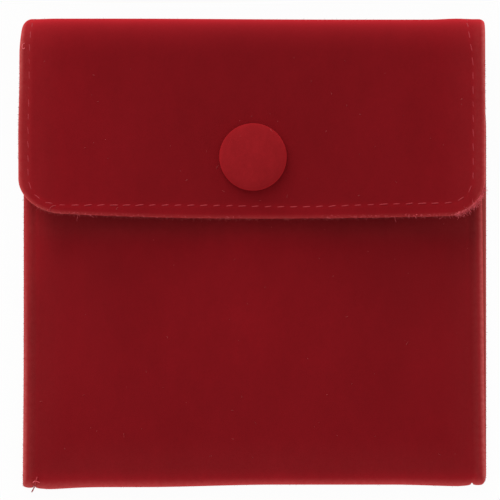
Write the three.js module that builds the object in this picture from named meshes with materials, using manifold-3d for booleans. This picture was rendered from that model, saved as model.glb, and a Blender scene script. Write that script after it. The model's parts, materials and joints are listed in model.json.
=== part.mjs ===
// Snap pouch: a velvet pouch with a flap that folds over the front and closes with a covered press stud.
// It lies on its back. X runs across it, +Y towards the top fold, +Z out of the front face.
// The origin is under the middle of its outline. All lengths are millimetres.
import * as THREE from "three";
import { mergeVertices } from "three/addons/utils/BufferGeometryUtils.js";
import Module from "manifold-3d";

const wasm = await Module();
wasm.setup();

const { degToRad, smoothstep } = THREE.MathUtils;

// Outline of the closed pouch
const pouchHeight = 80; // from the bottom fold to the top fold
const bodyWidth = 79.2;
const flapWidth = 80; // across the free end, which is cut a little wider than the body
const flapDrop = 34.1; // from the top edge down to the middle of the free edge
const flapCornerRadius = 5.8;
const flapEdgeBow = 0.7; // how much lower the free edge hangs in the middle than at its corners
const flapArch = 3; // how much the free edge droops at its two sides
const mouthDrop = 8.2; // from the top edge down to the mouth of the pocket

// Layers of one cloth wall, from the outside in, bonded with a thin space for the glue
const velvetThickness = 0.6;
const stiffenerThickness = 0.4;
const liningThickness = 0.4;
const layerGap = 0.1;

// Pocket
const pocketGap = 4.8; // between the linings in the middle
const bottomGap = 1.4; // between the linings at the bottom fold
const seamGap = 0.3; // between the linings along the side seams
const seamMargin = 1.75; // from the cut side edge to the side seam
const sideSlope = 16; // width of the curved flank beside each seam
const bottomSlope = 18; // height of the curved flank above the bottom fold
const bottomFoldReach = 2.5; // how far the bottom fold bulges below the flat walls
const stiffenerMargin = 3.2; // from a cut edge to the edge of the stiffener

// Top fold: strips of cloth between hinge lines, which share the half turn that opens the flap
const foldStrips = 3;
const hingeGap = 0.6;

// Press stud, on one vertical axis through the flap and the front wall
const snapDrop = 23.7; // from the top edge down to the axis
const seatGap = 0.1; // between a metal piece and the cloth or metal that it is set against
const runningGap = 0.3; // between the two halves of the closed snap
const holeGap = 0.3; // round a post in its cloth
const sheetMetal = 0.3;

const capDiameter = 11.5; // over the velvet
const capHeight = 2.5;
const capRimHeight = 0.9; // from the flap up to the widest ring
const capCoverThickness = 0.5;
const capFullness = 2.6; // 2 is an ellipse, more is squarer
const capTurnIn = 2.2; // how far the velvet is tucked in under the rim
const capPlateDiameter = 6.2;
const capPostDiameter = 2.6;
const capPostBore = 1.6;
const flareDiameter = 4.2;
const flareThickness = 0.2;

const socketDiameter = 10; // over the flange
const socketBodyDiameter = 7.8;
const socketHeight = 1.9;
const socketPlate = 0.4;
const socketMouthDiameter = 4.5;
const socketChamberDiameter = 5.4;
const springGrooveDiameter = 6.6;
const springGrooveHeight = 0.55;
const springLipHeight = 0.3;
const springWireDiameter = 0.4;
const springOpening = 40; // degrees that the split ring leaves open

const studFlangeDiameter = 9;
const studFlangeThickness = 0.35;
const studHeadDiameter = 3.9;
const studNeckDiameter = 3.3;
const studPostDiameter = 1.9;
const studPostBore = 1;
const studPostFlangeDiameter = 8.4;
const studNeckShare = 0.45; // of the boss's height, up to where its neck starts to widen
const studHeadShare = 0.75; // of the boss's height, up to its widest ring
const studPostBoreShare = 0.6; // of the post's height above its flange

// Grids and facets
const acrossSteps = 18;
const frontSteps = 13;
const flapAcrossSteps = 12;
const flapSteps = 6;
const cornerSteps = 4;
const foldSteps = 6;
const stripSteps = 4;
const roundSides = 28;
const domeSteps = 7;
const springSteps = 26;
const wireSides = 8;

// Levels and places that follow from the sizes
const wall = velvetThickness + stiffenerThickness + liningThickness + 2 * layerGap;
const topEdgeY = pouchHeight / 2;
const bottomFoldY = -pouchHeight / 2 + bottomFoldReach;
const mouthY = topEdgeY - mouthDrop;
const snapY = topEdgeY - snapDrop;
const flapCornerY = topEdgeY - flapDrop + flapEdgeBow + flapCornerRadius; // top of each corner

const frontTop = 2 * wall + pocketGap; // top of the front velvet round the stud
const studBase = frontTop + seatGap;
const socketBottom = studBase + studFlangeThickness + runningGap;
const socketTop = socketBottom + socketHeight;
const flapUnderside = socketTop + seatGap;
const flapTop = flapUnderside + wall;
const capBase = flapTop + seatGap;

const foldRadius = flapTop / 2; // outside of the top fold, which joins the back to the flap
const foldCentreY = topEdgeY - foldRadius;
const turnPerHinge = 180 / (foldStrips + 1);
const hingeRadius = (foldRadius - wall / 2) / Math.cos(degToRad(turnPerHinge / 2));
const firstHingeAngle = -90 + turnPerHinge / 2;
const plateEndY = foldCentreY + hingeRadius * Math.cos(degToRad(firstHingeAngle)) - hingeGap / 2;
const stiffenerTopY = foldCentreY - stiffenerMargin;

const studHole = studPostDiameter + 2 * holeGap;
const capHole = capPostDiameter + 2 * holeGap;

// Offsets of the layers from the lining's open face, as [inner, outer]
const liningLayer = [0, liningThickness];
const stiffenerLayer = [liningLayer[1] + layerGap, liningLayer[1] + layerGap + stiffenerThickness];
const velvetLayer = [wall - velvetThickness, wall];

// Materials
const velvetRed = { color: 0x7a141a, roughness: 0.95, metalness: 0 };
const liningRed = { color: 0x6b1519, roughness: 0.85, metalness: 0 };
const stiffenerGrey = { color: 0x8d8a84, roughness: 0.9, metalness: 0 };
const nickel = { color: 0xb9bab8, roughness: 0.3, metalness: 1 };
const springSteel = { color: 0x9a9c9f, roughness: 0.35, metalness: 1 };

function namedMesh(name, geometry, material) {
  geometry.computeVertexNormals();
  const mesh = new THREE.Mesh(geometry, new THREE.MeshStandardMaterial(material));
  mesh.name = name;
  return mesh;
}

// Closed solid between two faces that share a grid. corner(i, j, side) gives a point of the lower
// face on side 0 and of the upper face on side 1, and i, j and side run right-handed.
function gridSolid(columns, rows, corner) {
  const positions = [];
  const triangles = [];
  const perFace = (columns + 1) * (rows + 1);
  const at = (i, j, side) => side * perFace + i * (rows + 1) + j;
  const quad = (a, b, c, d) => triangles.push(a, b, c, a, c, d);
  for (const side of [0, 1]) {
    for (let i = 0; i <= columns; i += 1) {
      for (let j = 0; j <= rows; j += 1) {
        positions.push(...corner(i, j, side));
      }
    }
  }
  for (let i = 0; i < columns; i += 1) {
    for (let j = 0; j < rows; j += 1) {
      quad(at(i, j, 1), at(i + 1, j, 1), at(i + 1, j + 1, 1), at(i, j + 1, 1));
      quad(at(i, j, 0), at(i, j + 1, 0), at(i + 1, j + 1, 0), at(i + 1, j, 0));
    }
    quad(at(i, 0, 0), at(i + 1, 0, 0), at(i + 1, 0, 1), at(i, 0, 1));
    quad(at(i + 1, rows, 0), at(i, rows, 0), at(i, rows, 1), at(i + 1, rows, 1));
  }
  for (let j = 0; j < rows; j += 1) {
    quad(at(0, j + 1, 0), at(0, j, 0), at(0, j, 1), at(0, j + 1, 1));
    quad(at(columns, j, 0), at(columns, j + 1, 0), at(columns, j + 1, 1), at(columns, j, 1));
  }
  const geometry = new THREE.BufferGeometry();
  geometry.setAttribute("position", new THREE.Float32BufferAttribute(positions, 3));
  geometry.setIndex(triangles);
  return geometry;
}

function toSolid(geometry) {
  const bare = geometry.clone();
  bare.deleteAttribute("normal");
  bare.deleteAttribute("uv");
  const merged = mergeVertices(bare);
  const corners = merged.index.array;
  const triVerts = [];
  for (let start = 0; start < corners.length; start += 3) {
    const [a, b, c] = corners.slice(start, start + 3);
    if (a !== b && b !== c && c !== a) {
      triVerts.push(a, b, c); // a turned solid has empty triangles on its axis, which are left out
    }
  }
  const vertProperties = new Float32Array(merged.attributes.position.array);
  const mesh = new wasm.Mesh({ numProp: 3, vertProperties, triVerts: new Uint32Array(triVerts) });
  return new wasm.Manifold(mesh);
}

function toGeometry(solid) {
  const mesh = solid.getMesh();
  const geometry = new THREE.BufferGeometry();
  geometry.setAttribute("position", new THREE.Float32BufferAttribute(mesh.vertProperties, 3));
  geometry.setIndex([...mesh.triVerts]);
  return geometry;
}

// Hole on the snap's axis, through every cloth layer that lies above the middle of the pocket
function punched(geometry, diameter) {
  const low = wall + pocketGap / 2;
  const depth = 2 * capBase;
  const drill = new THREE.CylinderGeometry(diameter / 2, diameter / 2, depth, roundSides);
  drill.rotateX(Math.PI / 2);
  drill.translate(0, snapY, low + depth / 2);
  return toGeometry(toSolid(geometry).subtract(toSolid(drill)));
}

// Solid turned about the snap's axis from a closed profile of [radius, height] points
function turned(profile) {
  const points = profile.map(([radius, height]) => new THREE.Vector2(radius, height));
  const geometry = new THREE.LatheGeometry(points, roundSides);
  geometry.rotateX(Math.PI / 2);
  geometry.translate(0, snapY, 0);
  return toGeometry(toSolid(geometry));
}

function between(start, end, share) {
  return start + (end - start) * share;
}

// Grid lines from low to high, with one at the given margin inside each end. All the layers of a
// wall share their lines, so that their facets run parallel.
function linesWithMargin(low, high, margin, steps) {
  const lines = [low];
  for (let step = 0; step <= steps; step += 1) {
    lines.push(between(low + margin, high - margin, step / steps));
  }
  lines.push(high);
  return lines;
}

function withoutMargin(lines) {
  return lines.slice(1, -1);
}

const acrossLines = linesWithMargin(-bodyWidth / 2, bodyWidth / 2, stiffenerMargin, acrossSteps);
const frontLines = linesWithMargin(bottomFoldY, mouthY, stiffenerMargin, frontSteps);

// Clear height inside the pocket: full in the middle, closing towards the seams and the bottom fold
function pocketHeight(x, y) {
  const fromEdge = bodyWidth / 2 - Math.abs(x);
  const side = smoothstep(fromEdge, seamMargin, seamMargin + sideSlope);
  const rise = smoothstep(y, bottomFoldY, bottomFoldY + bottomSlope);
  return between(seamGap, between(bottomGap, pocketGap, rise), side);
}

// Flat panel of the back wall
function backPanel(layer, width, lowY, highY) {
  const thickness = layer[1] - layer[0];
  const panel = new THREE.BoxGeometry(width, highY - lowY, thickness);
  panel.translate(0, (lowY + highY) / 2, wall - layer[0] - thickness / 2);
  return panel;
}

// Panel of the front wall, raised over the pocket
function frontPanel(layer, xLines, yLines) {
  const corner = (i, j, side) => {
    const x = xLines[i];
    const y = yLines[j];
    return [x, y, wall + pocketHeight(x, y) + layer[side]];
  };
  return gridSolid(xLines.length - 1, yLines.length - 1, corner);
}

// Point of the bottom fold, at an angle that runs from -90 on the back to 90 on the front
function bottomFoldPoint(x, angle, offset) {
  const halfGap = pocketHeight(x, bottomFoldY) / 2;
  const reach = bottomFoldReach - wall + offset;
  const turn = degToRad(angle);
  return [
    x,
    bottomFoldY - reach * Math.cos(turn),
    wall + halfGap + (halfGap + offset) * Math.sin(turn),
  ];
}

function bottomFold(layer) {
  const corner = (i, j, side) => {
    return bottomFoldPoint(acrossLines[i], between(-90, 90, j / foldSteps), layer[side]);
  };
  return gridSolid(acrossLines.length - 1, foldSteps, corner);
}

// The pocket's lining is one strip: down the back, round the bottom fold and up the front
function pocketLining() {
  const foldEnd = 1 + foldSteps;
  const corner = (i, j, side) => {
    const x = acrossLines[i];
    const offset = liningLayer[side];
    if (j === 0) {
      return [x, plateEndY, wall - offset];
    }
    if (j <= foldEnd) {
      return bottomFoldPoint(x, between(-90, 90, (j - 1) / foldSteps), offset);
    }
    const y = frontLines[j - foldEnd];
    return [x, y, wall + pocketHeight(x, y) + offset];
  };
  return gridSolid(acrossLines.length - 1, foldEnd + frontLines.length - 1, corner);
}

// One strip of the top fold, an arc between two hinge lines
function foldStrip(layer, number) {
  const inner = foldRadius - wall + layer[0];
  const outer = foldRadius - wall + layer[1];
  const clearance = THREE.MathUtils.radToDeg(hingeGap / 2 / foldRadius);
  const low = firstHingeAngle + number * turnPerHinge + clearance;
  const high = firstHingeAngle + (number + 1) * turnPerHinge - clearance;
  const corner = (i, j, side) => {
    const radius = side === 0 ? inner : outer;
    const turn = degToRad(between(high, low, j / stripSteps));
    return [
      bodyWidth * (i - 0.5),
      foldCentreY + radius * Math.cos(turn),
      foldRadius + radius * Math.sin(turn),
    ];
  };
  return gridSolid(1, stripSteps, corner);
}

// Free edge of the flap at a place across it: bowed along the middle and round at the corners
function flapEdgeY(x) {
  const halfWidth = flapWidth / 2;
  const share = x / halfWidth;
  const bowed = topEdgeY - flapDrop + flapEdgeBow * share * share;
  const intoCorner = Math.max(Math.abs(x) - (halfWidth - flapCornerRadius), 0);
  const rise = Math.sqrt(Math.max(flapCornerRadius ** 2 - intoCorner ** 2, 0));
  return bowed + flapCornerRadius - rise;
}

// How far the flap hangs below its level middle, growing towards the sides and the free edge
function flapDroop(x, y) {
  const level = capDiameter / 2;
  const side = Math.max(Math.abs(x) - level, 0) / (flapWidth / 2 - level);
  const along = smoothstep(foldCentreY - y, 0, flapDrop - foldRadius);
  return flapArch * side * side * along;
}

// Grid lines across the flap: even along the straight edge, and at even turns round each corner
function flapAcrossLines() {
  const straight = flapWidth / 2 - flapCornerRadius;
  const lines = [];
  for (let step = 0; step <= flapAcrossSteps; step += 1) {
    lines.push(between(-straight, straight, step / flapAcrossSteps));
  }
  for (let step = 1; step <= cornerSteps; step += 1) {
    const turn = (Math.PI / 2) * (step / cornerSteps);
    const out = straight + flapCornerRadius * Math.sin(turn);
    lines.push(-out, out);
  }
  const margin = flapWidth / 2 - stiffenerMargin;
  lines.push(-margin, margin);
  return lines.sort((a, b) => a - b);
}

// Places along the flap from its free edge to the fold, at one line across it
function flapRows(edge) {
  const rows = [edge];
  for (let step = 0; step <= flapSteps; step += 1) {
    rows.push(between(edge + stiffenerMargin, stiffenerTopY, step / flapSteps));
  }
  rows.push(plateEndY);
  return rows;
}

// Layer of the flap. Its sides run in a little towards the fold, down to the body's width.
// The stiffener keeps its margin inside the outline of the other two layers.
function flapPanel(layer, isStiffener) {
  const widest = isStiffener ? flapWidth / 2 - stiffenerMargin : flapWidth / 2;
  const xLines = flapAcrossLines().filter((x) => Math.abs(x) <= widest);
  const corner = (i, j, side) => {
    const across = xLines[i];
    const edge = flapEdgeY(across);
    const y = flapRows(edge)[isStiffener ? j + 1 : j];
    const narrowing = smoothstep(y, flapCornerY, topEdgeY);
    const x = across * between(1, bodyWidth / flapWidth, narrowing);
    return [x, y, flapUnderside + layer[side] - flapDroop(x, y)];
  };
  return gridSolid(xLines.length - 1, isStiffener ? flapSteps : flapSteps + 2, corner);
}

// Points of a low dome from its widest ring in to the crown
function domePoints(radius, base, crown) {
  const points = [];
  for (let step = 0; step <= domeSteps; step += 1) {
    const turn = (Math.PI / 2) * (step / domeSteps);
    const across = step === domeSteps ? 0 : Math.cos(turn) ** (2 / capFullness);
    points.push([radius * across, base + (crown - base) * Math.sin(turn) ** (2 / capFullness)]);
  }
  return points;
}

// Profile of a domed shell with its edge turned in underneath, from the inside crown to the outside
function domedShell(radius, bottom, widest, crown, thickness, turnIn) {
  const corner = widest - bottom;
  const innerCorner = Math.max(corner - thickness, 0);
  return [
    ...domePoints(radius - thickness, widest, crown - thickness).reverse(),
    [radius - thickness - innerCorner / 2, bottom + thickness],
    [radius - turnIn, bottom + thickness],
    [radius - turnIn, bottom],
    [radius - corner / 2, bottom],
    ...domePoints(radius, widest, crown),
  ];
}

function capCover() {
  const radius = capDiameter / 2;
  const widest = capBase + capRimHeight;
  return turned(
    domedShell(radius, capBase, widest, capBase + capHeight, capCoverThickness, capTurnIn),
  );
}

// Room that the cover leaves for the metal shell inside it
const shellInset = capCoverThickness + layerGap;
const shellBottom = capBase + shellInset;
const capPlateBottom = shellBottom + sheetMetal + seatGap;

function capShell() {
  const radius = capDiameter / 2 - shellInset;
  const crown = capBase + capHeight - shellInset;
  const turnIn = radius - capPlateDiameter / 2 + sheetMetal;
  const widest = Math.max(capBase + capRimHeight, shellBottom + sheetMetal);
  return turned(domedShell(radius, shellBottom, widest, crown, sheetMetal, turnIn));
}

// Plate inside the cap, with the hollow post that is set over the socket's plate
function capPost() {
  const outer = capPostDiameter / 2;
  const bore = capPostBore / 2;
  const plateTop = capPlateBottom + sheetMetal;
  const flareTop = socketTop - socketPlate - seatGap;
  const flareBottom = flareTop - flareThickness;
  return turned([
    [bore, flareBottom],
    [flareDiameter / 2, flareBottom],
    [flareDiameter / 2, flareTop],
    [outer, flareTop],
    [outer, capPlateBottom],
    [capPlateDiameter / 2, capPlateBottom],
    [capPlateDiameter / 2, plateTop],
    [bore, plateTop],
    [bore, flareBottom],
  ]);
}

function snapSocket() {
  const plateBottom = socketTop - socketPlate;
  const lipTop = socketBottom + springLipHeight;
  const grooveTop = lipTop + springGrooveHeight;
  const roll = sheetMetal / 2;
  return turned([
    [capPostDiameter / 2 + seatGap, plateBottom],
    [socketChamberDiameter / 2, plateBottom],
    [socketChamberDiameter / 2, grooveTop],
    [springGrooveDiameter / 2, grooveTop],
    [springGrooveDiameter / 2, lipTop],
    [socketMouthDiameter / 2, lipTop],
    [socketMouthDiameter / 2, socketBottom + roll],
    [socketMouthDiameter / 2 + roll, socketBottom],
    [socketBodyDiameter / 2 - roll, socketBottom],
    [socketBodyDiameter / 2, socketBottom + roll],
    [socketBodyDiameter / 2, plateBottom],
    [socketDiameter / 2, plateBottom],
    [socketDiameter / 2, socketTop],
    [capPostDiameter / 2 + seatGap, socketTop],
    [capPostDiameter / 2 + seatGap, plateBottom],
  ]);
}

// Split ring in the socket's groove, which snaps in under the head of the stud
function socketSpring() {
  const wire = springWireDiameter / 2;
  const radius = studHeadDiameter / 2 + runningGap / 2 + wire;
  const height = socketBottom + springLipHeight + springGrooveHeight / 2;
  const sweep = degToRad(360 - springOpening);
  const points = [];
  for (let step = 0; step <= springSteps; step += 1) {
    const turn = (sweep * step) / springSteps;
    points.push(new THREE.Vector3(radius * Math.cos(turn), snapY + radius * Math.sin(turn), height));
  }
  const section = new THREE.Shape();
  for (let side = 0; side < wireSides; side += 1) {
    const turn = (2 * Math.PI * side) / wireSides;
    const place = [wire * Math.cos(turn), wire * Math.sin(turn)];
    if (side === 0) {
      section.moveTo(...place);
    } else {
      section.lineTo(...place);
    }
  }
  section.closePath();
  const extrudePath = new THREE.CatmullRomCurve3(points);
  const geometry = new THREE.ExtrudeGeometry(section, { steps: springSteps, extrudePath });
  return toGeometry(toSolid(geometry));
}

// Bottom of the flare is the roof over the stud, so the stud's height follows from it
const studTop = socketTop - socketPlate - seatGap - flareThickness - seatGap;

// Drawn stud: a thin flange with a hollow boss whose head is wider than its neck
function snapStud() {
  const flangeTop = studBase + studFlangeThickness;
  const neck = studNeckDiameter / 2;
  const head = studHeadDiameter / 2;
  const bore = studPostDiameter / 2 + seatGap;
  const crownEdge = head - sheetMetal;
  const headLow = between(flangeTop, studTop, studNeckShare);
  const headHigh = between(flangeTop, studTop, studHeadShare);
  return turned([
    [0, studTop - sheetMetal],
    [bore, studTop - sheetMetal],
    [bore, studBase],
    [studFlangeDiameter / 2, studBase],
    [studFlangeDiameter / 2, studBase + studFlangeThickness / 2],
    [studFlangeDiameter / 2 - studFlangeThickness / 2, flangeTop],
    [neck, flangeTop],
    [neck, headLow],
    [head, headHigh],
    [crownEdge, studTop],
    [0, studTop],
  ]);
}

// Post that comes up through the front wall from inside the pocket and is set in the stud
function studPost() {
  const flangeTop = wall + pocketGap - seatGap;
  const flangeBottom = flangeTop - sheetMetal;
  const outer = studPostDiameter / 2;
  const bore = studPostBore / 2;
  const tip = studTop - sheetMetal - seatGap;
  const blindTop = between(flangeTop, tip, studPostBoreShare);
  return turned([
    [0, blindTop],
    [bore, blindTop],
    [bore, flangeBottom],
    [studPostFlangeDiameter / 2, flangeBottom],
    [studPostFlangeDiameter / 2, flangeTop],
    [outer, flangeTop],
    [outer, tip],
    [0, tip],
  ]);
}

// Pocket: the velvet strip, its two stiffeners and the lining, with the stud on the front
function pouchBody() {
  const body = new THREE.Group();
  const stiffenerWidth = bodyWidth - 2 * stiffenerMargin;
  const stiffenerBottomY = bottomFoldY + stiffenerMargin;
  const frontVelvet = frontPanel(velvetLayer, acrossLines, frontLines);
  const frontStiffener = frontPanel(
    stiffenerLayer,
    withoutMargin(acrossLines),
    withoutMargin(frontLines),
  );
  const backVelvet = backPanel(velvetLayer, bodyWidth, bottomFoldY, plateEndY);
  const backStiffener = backPanel(stiffenerLayer, stiffenerWidth, stiffenerBottomY, stiffenerTopY);
  body.add(namedMesh("velvet_back", backVelvet, velvetRed));
  body.add(namedMesh("velvet_bottom_fold", bottomFold(velvetLayer), velvetRed));
  body.add(namedMesh("velvet_front", punched(frontVelvet, studHole), velvetRed));
  body.add(namedMesh("stiffener_back", backStiffener, stiffenerGrey));
  body.add(namedMesh("stiffener_front", punched(frontStiffener, studHole), stiffenerGrey));
  body.add(namedMesh("pocket_lining", punched(pocketLining(), studHole), liningRed));
  body.add(namedMesh("snap_stud", snapStud(), nickel));
  body.add(namedMesh("stud_post", studPost(), nickel));
  return body;
}

function topFold() {
  const fold = new THREE.Group();
  for (let number = 0; number < foldStrips; number += 1) {
    fold.add(namedMesh(`fold_velvet_${number + 1}`, foldStrip(velvetLayer, number), velvetRed));
    fold.add(namedMesh(`fold_lining_${number + 1}`, foldStrip(liningLayer, number), liningRed));
  }
  return fold;
}

function flap() {
  const group = new THREE.Group();
  const velvet = flapPanel(velvetLayer, false);
  const stiffener = flapPanel(stiffenerLayer, true);
  const lining = flapPanel(liningLayer, false);
  group.add(namedMesh("flap_velvet", punched(velvet, capHole), velvetRed));
  group.add(namedMesh("flap_stiffener", punched(stiffener, capHole), stiffenerGrey));
  group.add(namedMesh("flap_lining", punched(lining, capHole), liningRed));
  group.add(namedMesh("cap_cover", capCover(), velvetRed));
  group.add(namedMesh("cap_shell", capShell(), nickel));
  group.add(namedMesh("cap_post", capPost(), nickel));
  group.add(namedMesh("snap_socket", snapSocket(), nickel));
  group.add(namedMesh("socket_spring", socketSpring(), springSteel));
  return group;
}

const pouch = new THREE.Group();
pouch.add(pouchBody());
pouch.add(topFold());
pouch.add(flap());

export default pouch;
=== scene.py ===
"""Looks of a red velvet snap pouch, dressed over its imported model. All lengths are metres."""

import json
import math

import bpy
import numpy as np
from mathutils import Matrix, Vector


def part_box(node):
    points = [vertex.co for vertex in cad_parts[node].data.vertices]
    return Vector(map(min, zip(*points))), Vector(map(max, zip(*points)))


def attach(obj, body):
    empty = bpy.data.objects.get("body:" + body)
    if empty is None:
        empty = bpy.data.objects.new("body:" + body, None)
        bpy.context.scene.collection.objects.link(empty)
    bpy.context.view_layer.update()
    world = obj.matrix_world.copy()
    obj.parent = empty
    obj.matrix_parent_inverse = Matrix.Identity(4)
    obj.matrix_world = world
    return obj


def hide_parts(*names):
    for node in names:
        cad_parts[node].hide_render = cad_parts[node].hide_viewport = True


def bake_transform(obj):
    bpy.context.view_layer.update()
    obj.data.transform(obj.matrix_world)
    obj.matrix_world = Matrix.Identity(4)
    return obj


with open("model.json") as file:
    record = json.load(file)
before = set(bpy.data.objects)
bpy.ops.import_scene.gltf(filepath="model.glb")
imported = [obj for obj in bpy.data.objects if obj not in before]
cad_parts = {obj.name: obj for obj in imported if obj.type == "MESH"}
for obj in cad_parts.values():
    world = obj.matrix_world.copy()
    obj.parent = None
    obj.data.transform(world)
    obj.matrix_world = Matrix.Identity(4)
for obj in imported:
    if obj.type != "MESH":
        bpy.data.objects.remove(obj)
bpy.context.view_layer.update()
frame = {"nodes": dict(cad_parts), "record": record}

MM = 0.001

# Sizes that the solids have and the frame does not state
LINING_THICKNESS = 0.4 * MM
SEAM_MARGIN = 1.75 * MM
SIDE_SLOPE = 16 * MM
BOTTOM_SLOPE = 18 * MM
FLAP_ARCH = 3 * MM
STIFFENER_MARGIN = 3.2 * MM

# The photograph's frame: 500 by 500 pixels
PIXEL = 0.171 * MM
IMAGE_SIDE = 500
POUCH_MIDDLE_PX = (253.0, 252.5)
CAMERA_DISTANCE = 3.0
PICTURE_LEVEL = 6 * MM
SENSOR = 36.0


def from_pixel(column, row):
    """Place on the pouch of a point of the photograph."""
    return (column - POUCH_MIDDLE_PX[0]) * PIXEL, (POUCH_MIDDLE_PX[1] - row) * PIXEL


# Sizes that the frame gives
back_low, back_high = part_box("velvet_back")
stiffener_low, stiffener_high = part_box("stiffener_back")
front_low, front_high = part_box("velvet_front")
bottom_low, bottom_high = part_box("velvet_bottom_fold")
flap_low, flap_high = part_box("flap_velvet")
cap_low, cap_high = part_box("cap_cover")
stud_low, stud_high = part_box("snap_stud")
socket_low, socket_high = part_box("snap_socket")

body_width = back_high.x - back_low.x
velvet_thickness = back_high.z - back_low.z
layer_gap = stiffener_low.z - back_high.z
wall = stiffener_high.z + layer_gap + LINING_THICKNESS
velvet_inner = wall - velvet_thickness
bottom_fold_y = back_low.y
bottom_reach = bottom_fold_y - bottom_low.y
mouth_y = front_high.y
pocket_gap = front_high.z - 2 * wall
seam_gap = front_low.z - 2 * wall + velvet_thickness
bottom_gap = bottom_high.z - 2 * wall
flap_width = flap_high.x - flap_low.x
flap_top = flap_high.z
flap_underside = flap_top - wall
flap_edge_y = flap_low.y
fold_radius = flap_top / 2
fold_centre_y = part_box("fold_velvet_2")[1].y - fold_radius
snap_x = (cap_low.x + cap_high.x) / 2
snap_y = (cap_low.y + cap_high.y) / 2
cap_radius = (cap_high.x - cap_low.x) / 2

# Lengths along the cloth strip, called s. It is 0 where the back meets the top fold. It grows over the
# fold and down the flap, and falls down the back, round the bottom fold and up the front.
FOLD_LENGTH = math.pi * fold_radius
FOLD_PIECES = 4
FOLD_PIECE = FOLD_LENGTH / FOLD_PIECES
BACK_LENGTH = fold_centre_y - bottom_fold_y
BOTTOM_LENGTH = math.pi * (bottom_reach + wall + bottom_gap / 2) / 2
FRONT_START = -BACK_LENGTH - BOTTOM_LENGTH
BOTTOM_MIDDLE = FRONT_START + BOTTOM_LENGTH / 2
MOUTH = FRONT_START - (mouth_y - bottom_fold_y)
FLAP_START = FOLD_LENGTH


def smooth(value, low, high):
    """Rises gently from 0 to 1 between two values."""
    share = np.clip((value - low) / (high - low), 0, 1)
    return share * share * (3 - 2 * share)


def fade(value, low, high, share=1.0):
    return share * (1 - smooth(value, low, high))


def between(value, rise, fall):
    """Rises from 0 to 1 and fades again, each between its two values."""
    return smooth(value, *rise) * fade(value, *fall)


def bell(value, width, height=1.0):
    return height * np.exp(-((value / width) ** 2))


def glow(distance, width, share):
    return share * np.exp(-distance / width)


def mix(start, end, share):
    return start + (end - start) * share


# How the real pouch strays from the true outline, as read off the photograph. A pair of sizes is for the
# left and the right.
BACK_REACH = (39.27 * MM, 39.93 * MM)
FRONT_REACH = (39.24 * MM, 39.22 * MM)
FRONT_BOTTOM_REACH = (39.24 * MM, 39.80 * MM)
FRONT_REACH_START = FRONT_START - 6 * MM
FRONT_TAPER = 1.4
FLAP_REACH = (40.10 * MM, 39.70 * MM)
FULL_FLAP = FLAP_START + 14 * MM
# Reaches that follow the back's, with the places along the strip between which each takes over
LATER_REACHES = (
    ((39.50 * MM, 39.65 * MM), -13 * MM, -6 * MM),
    ((39.88 * MM, 39.65 * MM), FLAP_START - 7 * MM, FLAP_START),
    (FLAP_REACH, FLAP_START + 3 * MM, FULL_FLAP),
)
FOLD_CORNER_INSET = (0.70 * MM, 0.08 * MM)
FOLD_INSET_WIDTH = FOLD_LENGTH / 8
BOTTOM_INSET = (0.05 * MM, 0.25 * MM)
BOTTOM_INSET_WIDTH = BOTTOM_LENGTH / 6
BOTTOM_BULGE = (0.15 * MM, 0.0)
BULGE_WIDTH = 15 * MM
SEAM_MARGINS = (1.95 * MM, 2.20 * MM)
FLAP_CORNER_ACROSS = (7.20 * MM, 6.30 * MM)
FLAP_CORNER_ALONG = (5.60 * MM, 6.10 * MM)
FLAP_EDGE_BOW = (1.25 * MM, 0.60 * MM)
FLAP_EDGE_PILE = 0.1 * MM
MIDDLE_WIDTH = 20 * MM
SMALLEST_SHARE = 1e-6


def of_side(x, sizes):
    """The left or the right one of two sizes."""
    return np.where(np.asarray(x) < 0, sizes[0], sizes[1])


def across_middle(x, sizes):
    """Goes over from the left one to the right one of two sizes in the middle of the pouch."""
    return mix(sizes[0], sizes[1], smooth(x, -MIDDLE_WIDTH, MIDDLE_WIDTH))


def reach(s, side):
    """How far the strip reaches to the left (0) or to the right (1) at a place along it."""
    up_front = (FRONT_START - s) / (FRONT_START - MOUTH)
    front = mix(FRONT_BOTTOM_REACH[side], FRONT_REACH[side], np.clip(FRONT_TAPER * up_front, 0, 1))
    size = mix(BACK_REACH[side], front, fade(s, FRONT_REACH_START, BOTTOM_MIDDLE))
    size = size - bell(s - BOTTOM_MIDDLE, BOTTOM_INSET_WIDTH, BOTTOM_INSET[side])
    size = size + bell(s - BOTTOM_MIDDLE, BULGE_WIDTH, BOTTOM_BULGE[side])
    for sizes, start, end in LATER_REACHES:
        size = mix(size, sizes[side], smooth(s, start, end))
    return size - bell(s - FOLD_LENGTH / 2, FOLD_INSET_WIDTH, FOLD_CORNER_INSET[side])


def middle(s):
    return (reach(s, 1) - reach(s, 0)) / 2


def half_width(s):
    return (reach(s, 1) + reach(s, 0)) / 2


# Places on the cloth


def front_y(s):
    return bottom_fold_y + FRONT_START - s


def front_place(y):
    """Place along the strip of a point of the front."""
    return FRONT_START + bottom_fold_y - np.maximum(y, bottom_fold_y)


def flap_y(s):
    return fold_centre_y + FLAP_START - s


def flap_place(y):
    """Place along the strip of a point of the flap or of the near side of the top fold."""
    into_fold = np.arcsin(np.clip((y - fold_centre_y) / fold_radius, 0, 1))
    return FLAP_START - into_fold * fold_radius + np.maximum(fold_centre_y - y, 0)


def pocket_height(x, y):
    """Clear height inside the pocket, as the solids have it."""
    side = smooth(body_width / 2 - np.abs(x), SEAM_MARGIN, SEAM_MARGIN + SIDE_SLOPE)
    rise = smooth(y, bottom_fold_y, bottom_fold_y + BOTTOM_SLOPE)
    return mix(seam_gap, mix(bottom_gap, pocket_gap, rise), side)


def flap_droop(x, y):
    side = np.maximum(np.abs(x) - cap_radius, 0) / (flap_width / 2 - cap_radius)
    along = smooth(fold_centre_y - y, 0, fold_centre_y - flap_edge_y)
    return FLAP_ARCH * side * side * along


def side_distance(x, s):
    return half_width(s) - np.abs(x - middle(s))


def seam_margin(x):
    return of_side(x, SEAM_MARGINS)


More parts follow.
